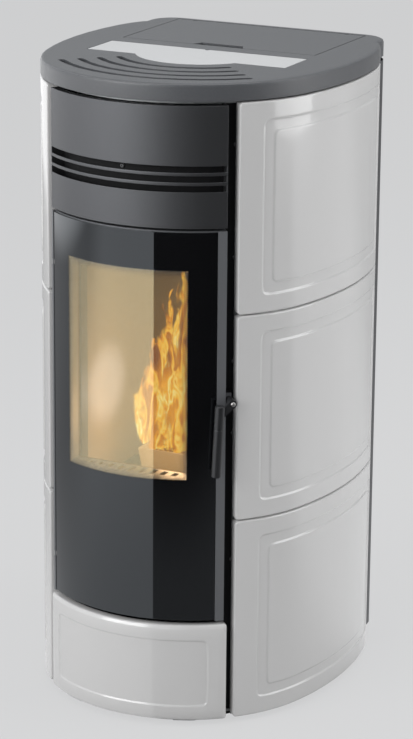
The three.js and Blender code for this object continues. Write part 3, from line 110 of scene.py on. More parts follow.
# %% [markdown]
# ## Helpers
#
# Node trees make the finishes and the small parts that repeat. One helper adds a node and
# gives its inputs their values or links, and short ones name the nodes that come up most.
# Everything could be added and linked line by line, but then the wiring hides the idea.


# %% Helpers for objects and node trees
def put(name, data):
    """A new object in the scene."""
    made = bpy.data.objects.new(name, data)
    bpy.context.scene.collection.objects.link(made)
    return made


def add(tree, kind, values=None, **settings):
    """A new node: values go to its inputs by name or number. Its outputs come back."""
    made = tree.nodes.new(kind)
    for name, value in settings.items():
        setattr(made, name, value)
    for place, value in (values or {}).items():
        if isinstance(value, bpy.types.NodeSocket):
            tree.links.new(value, made.inputs[place])
        else:
            made.inputs[place].default_value = value
    return made.outputs


def new_tree(kind, name, inputs, outputs):
    """A node group. Its sockets are named, each with a first value or else a kind."""
    tree = bpy.data.node_groups.new(name, kind)
    for way, sockets in (("INPUT", inputs), ("OUTPUT", outputs)):
        for label, value in sockets.items():
            sort = {int: "Int", float: "Float"}.get(type(value), value)
            socket = tree.interface.new_socket(label, in_out=way, socket_type="NodeSocket" + sort)
            if sort != value:
                socket.default_value = value
    return tree, add(tree, "NodeGroupInput")


def math_node(tree, operation, *values):
    return add(tree, "ShaderNodeMath", dict(enumerate(values)), operation=operation)[0]


def vector_node(tree, operation, *values, **named):
    values = dict(enumerate(values)) | named
    made = add(tree, "ShaderNodeVectorMath", values, operation=operation)
    return made["Value" if operation in ("DISTANCE", "DOT_PRODUCT") else "Vector"]


def smooth_step(tree, value, start, end, kind="SMOOTHSTEP"):
    values = {"Value": value, "From Min": start, "From Max": end}
    return add(tree, "ShaderNodeMapRange", values, interpolation_type=kind)["Result"]


def noise_node(tree, place, size, detail, **named):
    values = {"Vector": place, "Scale": size, "Detail": detail} | named
    return add(tree, "ShaderNodeTexNoise", values)


def mix_colors(tree, factor, first, second):
    values = {"Factor": factor, "A": first, "B": second}
    return add(tree, "ShaderNodeMix", values, data_type="RGBA")["Result"]


def color_ramp(tree, value, stops):
    """A color for a value, from a list of (position, color)."""
    color = add(tree, "ShaderNodeValToRGB", {"Fac": value})["Color"]
    marks = color.node.color_ramp.elements
    while len(marks) < len(stops):
        marks.new(0.5)
    for mark, (at, tone) in zip(marks, stops):
        mark.position, mark.color = at, (*tone, 1)
    return color


# %% [markdown]
# ## Finishes: a shared grain
#
# Paint, cast iron and glaze all have a fine unevenness that only shows in how light
# breaks on them. It is the same effect at different sizes, so it is one shader group
# with a size and a depth, used by every finish. It reads Object coordinates, which stay
# with the part when it moves.

# %% The grain group
grain_group, given = new_tree(
    "ShaderNodeTree", "surface grain",
    {"Size": 400.0, "Detail": 4.0, "Depth": 0.2, "Height": 0.0005},
    {"Normal": "Vector", "Fac": "Float"},
)
place = add(grain_group, "ShaderNodeTexCoord")["Object"]
pattern = noise_node(grain_group, place, given["Size"], given["Detail"])["Fac"]
bumps = {"Strength": given["Depth"], "Distance": given["Height"], "Height": pattern}
normal = add(grain_group, "ShaderNodeBump", bumps)["Normal"]
add(grain_group, "NodeGroupOutput", {"Normal": normal, "Fac": pattern})
print("grain nodes:", len(grain_group.nodes))

# %% [markdown]
# A finish is a Principled shader with its plain numbers on its own sockets. Where the
# surface isn't the same all over, two tones are mixed by the grain's pattern, as dust,
# soot and cast metal are.


# %% A finish from its numbers
def finish(name, color, rough, metal=0.0, grain=None, tones=None, **sockets):
    """A Principled material. grain is (size, detail, depth, height), tones a second color."""
    material = bpy.data.materials.new(name)
    material.use_nodes = True
    tree = material.node_tree
    shader = tree.nodes["Principled BSDF"]
    sockets |= {"Base_Color": (*color, 1), "Roughness": rough, "Metallic": metal}
    for label, value in sockets.items():
        shader.inputs[label.replace("_", " ")].default_value = value
    if grain:
        numbers = dict(zip(("Size", "Detail", "Depth", "Height"), grain))
        effect = add(tree, "ShaderNodeGroup", numbers, node_tree=grain_group)
        tree.links.new(effect["Normal"], shader.inputs["Normal"])
        if tones:
            mixed = mix_colors(tree, effect["Fac"], (*color, 1), (*tones, 1))
            tree.links.new(mixed, shader.inputs["Base Color"])
    return material


# %% [markdown]
# The stove has two greys. The sheets have a stove paint full of fine metal flakes, so it
# is set as a dark, rough metal: light where it faces a lamp and nearly black where it
# faces the dark. The cast top has a plainer, rougher paint that stays grey all round.

# %% The painted metals
sheet_paint = finish(
    "anthracite paint", (0.07, 0.072, 0.077), 0.42, 0.85, (1900, 5, 0.5, 0.0003),
    (0.135, 0.137, 0.144),
)
handle_paint = finish("handle paint", (0.05, 0.051, 0.054), 0.3, 0.6, (3200, 2, 0.2, 0.0001))
cast_paint = finish(
    "cast top paint", (0.06, 0.063, 0.069), 0.33, 0.0, (700, 6, 0.8, 0.0006), (0.118, 0.122, 0.13)
)
cover_paint = finish(
    "pale cover paint", (0.52, 0.525, 0.53), 0.4, 0.1, (1500, 4, 0.5, 0.0002), (0.62, 0.625, 0.63)
)
black_paint = finish(
    "black heat paint", (0.012, 0.012, 0.013), 0.65, 0.0, (1800, 3, 0.3, 0.0002),
    Specular_IOR_Level=0.15,
)
frame_paint = finish("door frame paint", (0.16, 0.165, 0.175), 0.4, 0.3, (2600, 3, 0.35, 0.0002))
# Soot is the iron's own colour, mixed in by the grain; the fire's light on it is painted on as a
# glow further down.
sooty_iron_painted_firelight = finish(
    "sooty iron with painted firelight", (0.03, 0.027, 0.025), 0.85, 0.2, (300, 6, 0.6, 0.001), (0.10, 0.09, 0.08)
)
print("finishes so far:", len(bpy.data.materials))

# %% [markdown]
# Glazed tile is ceramic under a thin layer of glass. The body colour is a light warm
# grey with no metal in it, and the gloss comes from a low roughness with a clear coat on
# top. A very long, very shallow waviness bends the reflections the way poured glaze does.

# %% Glaze, glass and the other finishes
glaze = finish(
    "tile glaze", (0.612, 0.606, 0.602), 0.2, 0.0, (9, 1, 0.12, 0.004), Coat_Weight=0.8,
    Coat_Roughness=0.04,
)
printed_glass = finish(
    "black printed glass", (0.003, 0.003, 0.0035), 0.02, IOR=1.8, Specular_Tint=(0.88, 0.94, 1, 1)
)
clear_glass = finish(
    "clear pane", (1, 0.98, 0.94), 0.0, Transmission_Weight=1.0, IOR=2.5,
    Specular_Tint=(1, 0.84, 0.5, 1),
)
reveal_steel = finish("window edge steel", (0.30, 0.30, 0.315), 0.45, 0.8, (900, 2, 0.15, 0.0001))
steel = finish("plain steel", (0.48, 0.47, 0.46), 0.38, 0.9, (900, 2, 0.1, 0.0001))
zinc = finish(
    "zinc coated sheet", (0.42, 0.43, 0.44), 0.5, 0.75, (60, 5, 0.05, 0.0004), (0.5, 0.51, 0.52)
)
BOARD = ((0.30, 0.21, 0.10), 0.9, 0.0, (45, 6, 0.5, 0.001), (0.39, 0.28, 0.15))
fire_board = finish("fire board", *BOARD)
# The left lining's copy of the board carries a painted pool of firelight: a bright spot near its
# front edge.
fire_board_painted_light_spot = finish("fire board with a painted light spot", *BOARD)
# The fire side of the door is dark steel; the fire's light on it is painted on as an orange glow
# further down.
door_plate_painted_firelight = finish("fire side of the door", (0.03, 0.026, 0.022), 0.7, 0.0, (600, 4, 0.4, 0.0005))
rope_yarn = finish(
    "rope yarn", (0.30, 0.29, 0.27), 0.95, 0.0, (1400, 4, 0.9, 0.0006), (0.16, 0.155, 0.15)
)
dark_rubber = finish("rubber", (0.02, 0.02, 0.02), 0.8)
grained_plastic = finish("grained plastic", (0.03, 0.03, 0.032), 0.5, 0.0, (3000, 2, 0.3, 0.0001))
print("finishes in all:", len(bpy.data.materials))

# %% [markdown]
# ## Finishes on the parts of the model
#
# Parts that hardly show, or whose flat faces are right as they are, keep their own mesh
# and only get a finish.

# %% Put the finishes on
FINISHES = {
    black_paint: """post_left post_right fascia_backplate hinge_leaf_lower
        hinge_leaf_upper latch_keeper""",
    sooty_iron_painted_firelight: "firebox burn_pot burn_shelf",
    zinc: """base_plate side_carrier_left side_carrier_right top_frame
        pellet_hopper smoke_duct""",
    reveal_steel: "window_reveal",
    steel: "lid_hinge_rod hinge_pin_lower hinge_pin_upper ash_drawer auger_screw",
    fire_board: "liner_back liner_right baffle",
    fire_board_painted_light_spot: "liner_left",
    door_plate_painted_firelight: "door_inner_plate",
    dark_rubber: "lid_seal",
    grained_plastic: "power_inlet power_switch",
}
for material, names in FINISHES.items():
    for node in names.split():
        nodes[node].data.materials.clear()
        nodes[node].data.materials.append(material)
print("nodes with a new finish:", sum(len(names.split()) for names in FINISHES.values()))

# %% [markdown]
# ## Softened edges
#
# No pressed sheet or casting has a perfectly sharp edge, and the thin highlight along an
# edge is what shows its metal. The visible parts are remade from the model's own shape:
# its doubled corners are joined, flat faces are merged, and a small bevel with weighted
# normals runs along each real edge. A bevel shader node would do it for the render only,
# so real geometry is used.

# %% A part with softened edges
SAME_PLACE, FLAT_ANGLE, SHARP_ANGLE = 2e-6, math.radians(0.5), math.radians(35)
bodies = frame["record"]["behaviour"]["bodies"]
BODY_OF = {node: body for body, members in bodies.items() for node in members}


def plain_mesh(thing):
    """What the object's modifiers make of it, as a mesh of its own."""
    seen = thing.evaluated_get(bpy.context.evaluated_depsgraph_get())
    return bpy.data.meshes.new_from_object(seen)


def new_piece(name, mesh, *materials):
    mesh.materials.clear()
    for material in materials:
        mesh.materials.append(material)
    return put(name, mesh)


def stand_for(piece, node):
    """The piece rides where the model's node rides and is shown in its place."""
    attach(piece, BODY_OF[node])
    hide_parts(node)


def soften(node, material, edge):
    mesh = bpy.data.meshes.new(node + "_soft")
    work = bmesh.new()
    work.from_mesh(nodes[node].data)
    bmesh.ops.remove_doubles(work, verts=work.verts, dist=SAME_PLACE)
    bmesh.ops.dissolve_limit(work, angle_limit=FLAT_ANGLE, verts=work.verts, edges=work.edges)
    work.to_mesh(mesh)
    work.free()
    mesh.shade_smooth()
    piece = new_piece(node + "_soft", mesh, material)
    bevel = piece.modifiers.new("edge", "BEVEL")
    bevel.width, bevel.segments = edge, 2
    bevel.limit_method, bevel.angle_limit = "ANGLE", SHARP_ANGLE
    piece.modifiers.new("normals", "WEIGHTED_NORMAL").keep_sharp = True
    piece.data = plain_mesh(piece)
    piece.modifiers.clear()
    stand_for(piece, node)


# %% The parts that get softened edges
SOFTENED = [
    ("anthracite_sheet", sheet_paint, 0.7, "upper_fascia rear_panel"),
    ("anthracite_sheet", frame_paint, 0.7, "door_frame"),
    ("anthracite_sheet", handle_paint, 0.5, "handle_lever handle_grip"),
    ("cast_top", cast_paint, 0.6, "top_plate hopper_lid"),
    ("pale_cover", cover_paint, 0.5, "control_cover"),
    ("bright_steel", steel, 0.3, "handle_bolt fan_impeller igniter"),
    ("black_sheet", black_paint, 0.5, "flue_collar fan_motor"),
    ("zinc_sheet", zinc, 0.5, "air_intake fan_housing gear_motor auger_tube"),
    ("plastic", grained_plastic, 0.5, "control_panel"),
    ("seal_rubber", dark_rubber, 0.8, """foot_front_left foot_front_right
        foot_rear_left foot_rear_right"""),
]
for slot, material, edge, names in SOFTENED:
    for node in names.split():
        soften(node, material, edge * MM)
print("softened parts:", sum(len(names.split()) for *_, names in SOFTENED))

# %% [markdown]
# ## Curved plates from a height map
#
# A tile is a curved slab whose face rises and falls by a couple of millimetres. It is
# made as a grid of points on the outline. Each point's depth comes from its distance to
# rounded rectangles: the tile's own edge, and the two lines that bound the sunken band.
# Sculpting or bevelling would give much the same, but the distances make every ramp
# equally soft, as a moulded and glazed edge is.


# %% Distances to rounded rectangles
def inside_distance(x, z, half_x, half_z, corner):
    """How far each point is inside a rounded rectangle round the origin."""
    qx, qz = np.abs(x) - (half_x - corner), np.abs(z) - (half_z - corner)
    beyond = np.hypot(np.maximum(qx, 0), np.maximum(qz, 0))
    return corner - beyond - np.minimum(np.maximum(qx, qz), 0)


def ramp(distance, width):
    t = np.clip(distance / width + 0.5, 0, 1)
    return t * t * (3 - 2 * t)


FINE, SPREAD, COARSE = 1.2 * MM, 7 * MM, 16 * MM


def grid_lines(half, marks):
    """Grid lines from -half to half, close together round each mark and apart elsewhere."""
    lines = [-half, half]
    for mark in marks:
        for side in (-1, 1):
            centre = side * (half - mark)
            lines += list(np.arange(centre - SPREAD, centre + SPREAD, FINE))
    lines = sorted(v for v in lines if -half <= v <= half)
    kept = [lines[0]]
    for v in lines[1:]:
        gap = v - kept[-1]
        if gap < FINE * 0.6:
            continue
        if gap > COARSE:
            kept += list(np.linspace(kept[-1], v, int(np.ceil(gap / COARSE)) + 1)[1:-1])
        kept.append(v)
    kept[-1] = half
    return np.array(kept)


def round_corners(x, z, half_x, half_z, corner):
    """Moves the points in each square corner into a quarter disc."""
    u, v = (np.abs(x) - (half_x - corner)) / corner, (np.abs(z) - (half_z - corner)) / corner
    inside = (u > 0) & (v > 0)

    def rounded(value, half, share, other):
        bent = share * np.sqrt(np.maximum(1 - other * other / 2, 0))
        return np.where(inside, np.sign(value) * (half - corner + corner * bent), value)

    return rounded(x, half_x, u, v), rounded(z, half_z, v, u)


# %% Closed meshes
def closed_mesh(name, points, faces):
    """A mesh with every face turned outwards."""
    mesh = bpy.data.meshes.new(name)
    mesh.from_pydata(points, [], faces)
    work = bmesh.new()
    work.from_mesh(mesh)
    bmesh.ops.recalc_face_normals(work, faces=work.faces)
    work.to_mesh(mesh)
    work.free()
    return mesh


def grid_faces(index):
    corners = index[:-1, :-1], index[1:, :-1], index[1:, 1:], index[:-1, 1:]
    return np.stack(corners, -1).reshape(-1, 4)


def slab_mesh(name, front, back):
    """A closed slab between two grids of points."""
    rows, columns = front.shape[:2]
    index = np.arange(rows * columns).reshape(rows, columns) * 2
    faces = grid_faces(index)
    both = np.stack([faces, faces[:, ::-1] + 1], 1).reshape(-1, 4)
    edges = index[:-1, 0], index[-1, :-1], index[1:, -1][::-1], index[0, 1:][::-1]
    rim = np.concatenate(edges)
    following = np.roll(rim, -1)
    walls = np.stack([following, rim, rim + 1, following + 1], -1)
    points = np.stack([front, back], 2).reshape(-1, 3)
    return closed_mesh(name, points.tolist(), np.concatenate([both, walls]).tolist())


PLATE_ANGLE = math.radians(50)


def curved_plate(name, s, z, depth, back, *materials):
    """A closed plate on the outline. s, z and depth are grids, back is the depth behind."""
    front = np.stack([*on_outline(s, depth), z], -1)
    behind = np.stack([*on_outline(s, back), z], -1)
    mesh = slab_mesh(name, front, behind)
    mesh.shade_smooth()
    mesh.set_sharp_from_angle(angle=PLATE_ANGLE)
    return new_piece(name, mesh, *materials)


# %% [markdown]
# ## The tiles
#
# Each flank has three equal tiles with a sunken band that runs round a raised middle.
# The base tile is the same idea with a plain sunken panel, a broader bevel, and it
# stands a little proud of the door above it.

# %% One tile
BAND_RAMP, SLOPE_WIDTH = 3.4 * MM, 7.5 * MM


def tile(node, s0, s1, z0, z1, front, edge, corner, bands, sunk, back, slope=0.0):
    half_s, half_z = (s1 - s0) / 2, (z1 - z0) / 2
    s = grid_lines(half_s, [0] + [band[0] for band in bands])
    z = grid_lines(half_z, [0] + [band[1] for band in bands])
    s, z = np.meshgrid(s, z, indexing="ij")
    s, z = round_corners(s, z, half_s, half_z, corner)
    inwards = inside_distance(s, z, half_s, half_z, corner)
    to_edge = np.clip(inwards, 0, edge)
    depth = front + edge - np.sqrt(np.maximum(edge**2 - (edge - to_edge) ** 2, 0))
    depth += slope * np.clip(1 - inwards / SLOPE_WIDTH, 0, 1)
    weight = np.zeros_like(depth)
    for sign, (inset_s, inset_z, bend) in zip((1, -1), bands):
        to_band = inside_distance(s, z, half_s - inset_s, half_z - inset_z, bend)
        weight += sign * ramp(to_band, BAND_RAMP)
    depth += sunk * weight
    s, z = s + (s0 + s1) / 2, z + (z0 + z1) / 2
    piece = curved_plate(node + "_glazed", s, z, depth, back, glaze)
    stand_for(piece, node)
    return len(piece.data.polygons)


# %% All the tiles
LOWEST, HIGHEST, SEAM = 10 * MM, 1116 * MM, 2 * MM
TILE_HEIGHT = (HIGHEST - LOWEST - 2 * SEAM) / 3
SIDE_ENDS, BASE_END, BASE_TOP = (203 * MM, 697 * MM), 189.5 * MM, 189 * MM
SIDE_BANDS = [(46 * MM, 32 * MM, 12 * MM), (67 * MM, 51.5 * MM, 10 * MM)]
SIDE_FACE = {"front": 0, "edge": 3 * MM, "corner": 7 * MM, "sunk": 2 * MM, "back": 19 * MM}
BASE_BANDS = [(34 * MM, 28 * MM, 12 * MM)]
BASE_FACE = {"front": -4 * MM, "edge": 1.5 * MM, "corner": 5 * MM, "sunk": 2 * MM, "back": 14 * MM}
faces = 0
for side, sign in (("left", -1), ("right", 1)):
    for row, level in enumerate(("lower", "middle", "upper")):
        ends = sorted(sign * end for end in SIDE_ENDS)
        bottom = LOWEST + row * (TILE_HEIGHT + SEAM)
        levels = bottom, bottom + TILE_HEIGHT
        name = f"side_tile_{side}_{level}"
        faces += tile(name, *ends, *levels, bands=SIDE_BANDS, **SIDE_FACE)
ends = -BASE_END, BASE_END, LOWEST, BASE_TOP
faces += tile("base_tile", *ends, bands=BASE_BANDS, slope=3.5 * MM, **BASE_FACE)
print("tile faces:", faces)

# %% [markdown]
# ## The door glass
#
# The pane is one curved sheet of ceramic glass. Its border is printed black on the
# inside and a clear window is left in the middle. The print is given to faces rather
# than to a picture, so the grid has lines exactly along the window's edges.

# %% The pane
PANE = (-174.2 * MM, 167.2 * MM, 198 * MM, 895 * MM)
WINDOW = (-123 * MM, 117 * MM, 456 * MM, 829 * MM)
GLASS_FRONT, GLASS_BACK = 1.2 * MM, 5.2 * MM
pane_s = [
    np.linspace(PANE[0], WINDOW[0], 8),
    np.linspace(*WINDOW[:2], 25),
    np.linspace(WINDOW[1], PANE[1], 8),
]
pane_z = [PANE[2], 300 * MM, WINDOW[2], 640 * MM, WINDOW[3], PANE[3]]
pane_s, pane_z = np.unique(np.concatenate(pane_s).round(6)), np.unique(np.round(pane_z, 6))
pane_s, pane_z = np.meshgrid(pane_s, pane_z, indexing="ij")
front = np.full_like(pane_s, GLASS_FRONT)
pane = curved_plate("door_pane", pane_s, pane_z, front, GLASS_BACK, printed_glass, clear_glass)
left_x, right_x = on_outline(np.array(WINDOW[:2]), 3 * MM)[0]
for face in pane.data.polygons:
    if left_x < face.center.x < right_x and WINDOW[2] < face.center.z < WINDOW[3]:
        face.material_index = 1
stand_for(pane, "door_glass")
print("clear faces:", sum(face.material_index for face in pane.data.polygons))

# %% [markdown]
# ## Geometry nodes: what repeats
#
# Screws, printed dots, pellets, embers, flames and the strands of the rope all repeat one
# small shape by a rule. Copying meshes in a loop would work, but a node tree keeps the
# rule and its sizes in view and can be tuned by its inputs. One helper starts a tree, one
# ends it, and one runs it on a base and keeps the plain mesh.


# %% Helpers for geometry trees
def geometry_tree(name, **inputs):
    """A tree with a geometry, the given inputs and a material, and its input sockets."""
    inputs = {label.replace("_", " "): value for label, value in inputs.items()}
    inputs = {"Geometry": "Geometry"} | inputs | {"Material": "Material"}
    return new_tree("GeometryNodeTree", name, inputs, {"Geometry": "Geometry"})


def attribute(tree, name, kind="FLOAT"):
    return add(tree, "GeometryNodeInputNamedAttribute", {"Name": name}, data_type=kind)[0]


def random_value(tree, low, high, seed):
    values = {2: low, 3: high, "Seed": seed}
    return add(tree, "FunctionNodeRandomValue", values, data_type="FLOAT")[1]


def set_shapes(tree, points, shape, turn, size):
    """One copy of an object on each point."""
    shape = add(tree, "GeometryNodeObjectInfo", {"Object": shape})["Geometry"]
    values = {"Points": points, "Instance": shape, "Rotation": turn, "Scale": size}
    return add(tree, "GeometryNodeInstanceOnPoints", values)[0]


def end_tree(tree, geometry, material):
    """Realize Instances and Set Material, so that the result is one plain mesh."""
    solid = add(tree, "GeometryNodeRealizeInstances", {0: geometry})[0]
    values = {"Geometry": solid, "Material": material}
    add(tree, "NodeGroupOutput", {0: add(tree, "GeometryNodeSetMaterial", values)[0]})
    print("nodes in the tree:", len(tree.nodes))


def grow(name, base, tree, **values):
    """Runs a tree on a base mesh and returns a piece with the result as its own mesh."""
    carrier = put(name + "_base", base)
    modifier = carrier.modifiers.new("grow", "NODES")
    modifier.node_group = tree
    for item in tree.interface.items_tree:
        label = item.name.replace(" ", "_")
        if item.in_out == "INPUT" and label in values:
            modifier[item.identifier] = values[label]
    mesh = plain_mesh(carrier)
    for thing in (carrier, *values.values()):
        if isinstance(thing, bpy.types.Object):
            bpy.data.objects.remove(thing)
    mesh.name = name
    piece = new_piece(name, mesh, values["Material"])
    mesh.polygons.foreach_set("material_index", [0] * len(mesh.polygons))
    print(name, "has", sum(len(face.vertices) - 2 for face in mesh.polygons), "triangles")
    return piece


def point_mesh(name, points, facing, share=None):
    """Loose points that carry the way each faces and its share of the full size."""
    mesh = bpy.data.meshes.new(name)
    mesh.from_pydata([tuple(map(float, p)) for p in points], [], [])
    share = share or [1.0] * len(points)
    normals = mesh.attributes.new("facing", "FLOAT_VECTOR", "POINT")
    normals.data.foreach_set("vector", np.array(facing, np.float32).ravel())
    sizes = mesh.attributes.new("share", "FLOAT", "POINT")
    sizes.data.foreach_set("value", np.array(share, np.float32))
    return mesh


# %% [markdown]
# The first tree sets a small shape on points, turned the way each point faces. It serves
# the screws and the printed dots.

# %% The tree that sets shapes on points
set_tree, given = geometry_tree("set on points", Shape="Object")
facing = {"Vector": attribute(set_tree, "facing", "FLOAT_VECTOR")}
turned = add(set_tree, "FunctionNodeAlignRotationToVector", facing, axis="Z")[0]
share = attribute(set_tree, "share")
placed = set_shapes(set_tree, given["Geometry"], given["Shape"], turned, share)
end_tree(set_tree, placed, given["Material"])

# %% [markdown]
# ## Screws
#
# The sheets are held by low button-head screws with a hexagon socket. A head is a profile
# turned round its axis, with the socket as its innermost rings. It is modelled once and
# the tree sets it wherever a sheet is fixed.


# %% One screw head
def turned_shape(name, rings, sides=12):
    """Rings of (radius, height) in mm turned round Z. A third item makes one hexagonal."""
    points, faces = [], []
    for ring, (radius, height, *hexagonal) in enumerate(rings):
        for i in range(sides):
            flat = math.cos(math.pi / 6) if hexagonal and i % 2 else 1
            out, angle = radius * MM * flat, i / sides * math.tau
            points.append((out * math.cos(angle), out * math.sin(angle), height * MM))
            if ring:
                here, after = ring * sides + i, ring * sides + (i + 1) % sides
                faces.append((here - sides, after - sides, after, here))
    last = range(len(points) - sides, len(points))
    return put(name, closed_mesh(name, points, [*faces, [*range(sides)], [*last]]))


HEAD_RINGS = [(4.2, 0), (4.2, 0.7), (3.6, 1.7), (2.6, 2.2), (1.9, 2.2, "hex"), (1.8, 0.8, "hex")]
screw_head = turned_shape("screw_head", HEAD_RINGS)
print("screw head faces:", len(screw_head.data.polygons))

# %% Where the screws are
screw_steel = finish("blackened screw", (0.16, 0.16, 0.165), 0.3, 0.9, (2600, 2, 0.1, 0.0001))
REAR_X, REAR_Y, REAR_SCREWS = 181 * MM, 289.5 * MM, (60, 330, 600, 870, 1085)
POST_ALONG, POST_DEPTH, POST_SCREWS = 205.5 * MM, 26 * MM, (300, 532, 661, 845, 1040)
BACKPLATE_DEPTH = 24 * MM
BACKPLATE_SCREWS = ((-12.1, 998.9), (-120, 1060), (120, 1060), (-120, 940), (120, 940))


def on_sheet(along, depth, z):
    """Where a screw on a curved sheet sits, and the way it faces."""
    (x, outer_x), (y, outer_y) = on_outline(np.full(2, along), np.array([depth, 0]))
    return (x, y, z * MM), tuple(Vector((outer_x - x, outer_y - y, 0)).normalized())


heads = [((x, REAR_Y, z * MM), (0, 1, 0)) for x in (-REAR_X, REAR_X) for z in REAR_SCREWS]
for along in (-POST_ALONG, POST_ALONG):
    heads += [on_sheet(along, POST_DEPTH, z) for z in POST_SCREWS]
heads += [on_sheet(along * MM, BACKPLATE_DEPTH, z) for along, z in BACKPLATE_SCREWS]
screw_points = point_mesh("screw_points", *zip(*heads))
screws = grow("body_screws", screw_points, set_tree, Shape=screw_head, Material=screw_steel)
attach(screws, "root")

# %% [markdown]
# ## The dots round the window
#
# The black print of the pane doesn't stop at a hard line: it breaks up into rows of dots
# that get smaller towards the window, printed on the inner face like the rest. A picture
# of dots would blur close up, so each one is a thin disc, set by the same tree.

# %% Dots in rows
DOT_PITCH, DOT_ROWS, DOT_RADIUS, SMALLEST_DOT = 3.2 * MM, 6, 1.5, 0.25
FIRST_ROW, ROW_STEP, INSIDE = 0.35, 0.8, 15 * MM
dot = turned_shape("dot", [(DOT_RADIUS, -0.05), (DOT_RADIUS, 0.15)], 6)
middle_s, middle_z = (WINDOW[0] + WINDOW[1]) / 2, (WINDOW[2] + WINDOW[3]) / 2
dot_points, dot_facing, dot_share = [], [], []
for row in range(DOT_ROWS):
    inset = (row + FIRST_ROW) * DOT_PITCH * ROW_STEP
    half_s, half_z = (WINDOW[1] - WINDOW[0]) / 2 - inset, (WINDOW[3] - WINDOW[2]) / 2 - inset
    for half, other, upright in ((half_s, half_z, False), (half_z, half_s, True)):
        count = round(2 * half / DOT_PITCH)
        steps = ((np.arange(count) + 0.5 * (row % 2)) / count * 2 - 1) * half
        for side in (-other, other):
            edge = np.full(count, side)
            s, z = (edge, steps) if upright else (steps, edge)
            x, y = on_outline(s + middle_s, GLASS_BACK)
            x2, y2 = on_outline(s + middle_s, INSIDE)
            dot_points += list(zip(x, y, z + middle_z))
            dot_facing += list(zip(x2 - x, y2 - y, np.zeros(count)))
            dot_share += [1 - (1 - SMALLEST_DOT) * row / (DOT_ROWS - 1)] * count
dot_mesh = point_mesh("dot_points", dot_points, dot_facing, dot_share)
dots = grow("pane_dots", dot_mesh, set_tree, Shape=dot, Material=printed_glass)
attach(dots, "door")
print("dots:", len(dot_points))

# %% [markdown]
# ## The door rope
#
# A rope of three twisted glass-fibre strands lies on the back of the door and seals it
# against the firebox. The tree turns a closed path into a curve, doubles it into strands
# and winds each strand round the path. A bump pattern alone would leave its outline a
# plain bar, and the strands are what shows when the door is open.

# %% The tree that twists strands
rope_tree, given = geometry_tree(
    "twisted rope", Strands=3, Turns=120, Strand_Radius=0.0024, Lay_Radius=0.0025, Steps=960
)
tree = rope_tree
path_curve = add(tree, "GeometryNodeMeshToCurve", {0: given["Geometry"]})[0]
evenly = {"Curve": path_curve, "Count": given["Steps"]}
even = add(tree, "GeometryNodeResampleCurve", evenly)[0]
amount = {"Geometry": even, "Amount": given["Strands"]}
copies = add(tree, "GeometryNodeDuplicateElements", amount, domain="SPLINE")
factor = add(tree, "GeometryNodeSplineParameter")["Factor"]
phase = math_node(tree, "DIVIDE", copies["Duplicate Index"], given["Strands"])
turn = math_node(tree, "MULTIPLY_ADD", factor, given["Turns"], phase)
angle = math_node(tree, "MULTIPLY", turn, math.tau)
DOOR_WAY = (0, 1, 0)
tangent = add(tree, "GeometryNodeInputTangent")[0]
across = vector_node(tree, "CROSS_PRODUCT", tangent, DOOR_WAY)
offsets = []
for wave, way in (("COSINE", DOOR_WAY), ("SINE", across)):
    swing = math_node(tree, "MULTIPLY", math_node(tree, wave, angle), given["Lay Radius"])
    offsets.append(vector_node(tree, "SCALE", way, Scale=swing))
offset = vector_node(tree, "ADD", *offsets)
moved = {"Geometry": copies["Geometry"], "Offset": offset}
wound = add(tree, "GeometryNodeSetPosition", moved)[0]
ring = {"Resolution": 6, "Radius": given["Strand Radius"]}
section = add(tree, "GeometryNodeCurvePrimitiveCircle", ring)[0]
lofted = {"Curve": wound, "Profile Curve": section}
strands = add(tree, "GeometryNodeCurveToMesh", lofted)[0]
end_tree(tree, strands, given["Material"])

# %% The rope on its path
low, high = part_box("door_seal")
middle, rope_half, bend = (low + high) / 2, (high.y - low.y) / 2, 12 * MM
half_x, half_z = (high.x - low.x) / 2 - rope_half, (high.z - low.z) / 2 - rope_half
path = []
for corner, (sx, sz) in enumerate(((1, 1), (-1, 1), (-1, -1), (1, -1))):
    for step in range(7):
        a = (corner + step / 6) * math.pi / 2
        path.append((
            middle.x + sx * (half_x - bend) + bend * math.cos(a),
            middle.y,
            middle.z + sz * (half_z - bend) + bend * math.sin(a),
        ))
path_mesh = bpy.data.meshes.new("rope_path")
count = len(path)
path_mesh.from_pydata(path, [(i, (i + 1) % count) for i in range(count)], [])
door_rope = grow("door_rope", path_mesh, rope_tree, Turns=126, Steps=1008, Material=rope_yarn)
door_rope.data.shade_smooth()
stand_for(door_rope, "door_seal")

# %% [markdown]
# ## Pellets and embers
#
# Wood pellets are short pressed rods, about 6 mm thick, that lie in the hopper in every
# direction. In the burn pot the same pellets have burnt to glowing lumps. One tree
# scatters a shape over a bed, with a least distance between neighbours so that they lie
# beside one another, and joins the bed below them.

# %% The tree that scatters over a bed
heap_tree, given = geometry_tree(
    "loose heap", Item="Object", Spacing=0.006, Per_Area=20000.0, Smallest=0.7, Largest=1.2,
    Tilt=0.4, Seed=1,
)
tree = heap_tree
base, seed, tilt = given["Geometry"], given["Seed"], given["Tilt"]
upward = add(tree, "ShaderNodeSeparateXYZ", {0: add(tree, "GeometryNodeInputNormal")[0]})
is_top = {"A": upward["Z"], "B": 0.5}
top = add(tree, "FunctionNodeCompare", is_top, operation="GREATER_THAN")[0]
rule = {
    "Mesh": base, "Selection": top, "Distance Min": given["Spacing"],
    "Density Max": given["Per Area"], "Seed": seed,
}
spots = add(tree, "GeometryNodeDistributePointsOnFaces", rule, distribute_method="POISSON")[0]
tipped = math_node(tree, "MULTIPLY", tilt, -1.0)
lowest = add(tree, "ShaderNodeCombineXYZ", {0: tipped, 2: 0.0})[0]
highest = add(tree, "ShaderNodeCombineXYZ", {0: tilt, 2: math.tau})[0]
limits = {0: lowest, 1: highest, "Seed": seed}
turns = add(tree, "FunctionNodeRandomValue", limits, data_type="FLOAT_VECTOR")[0]
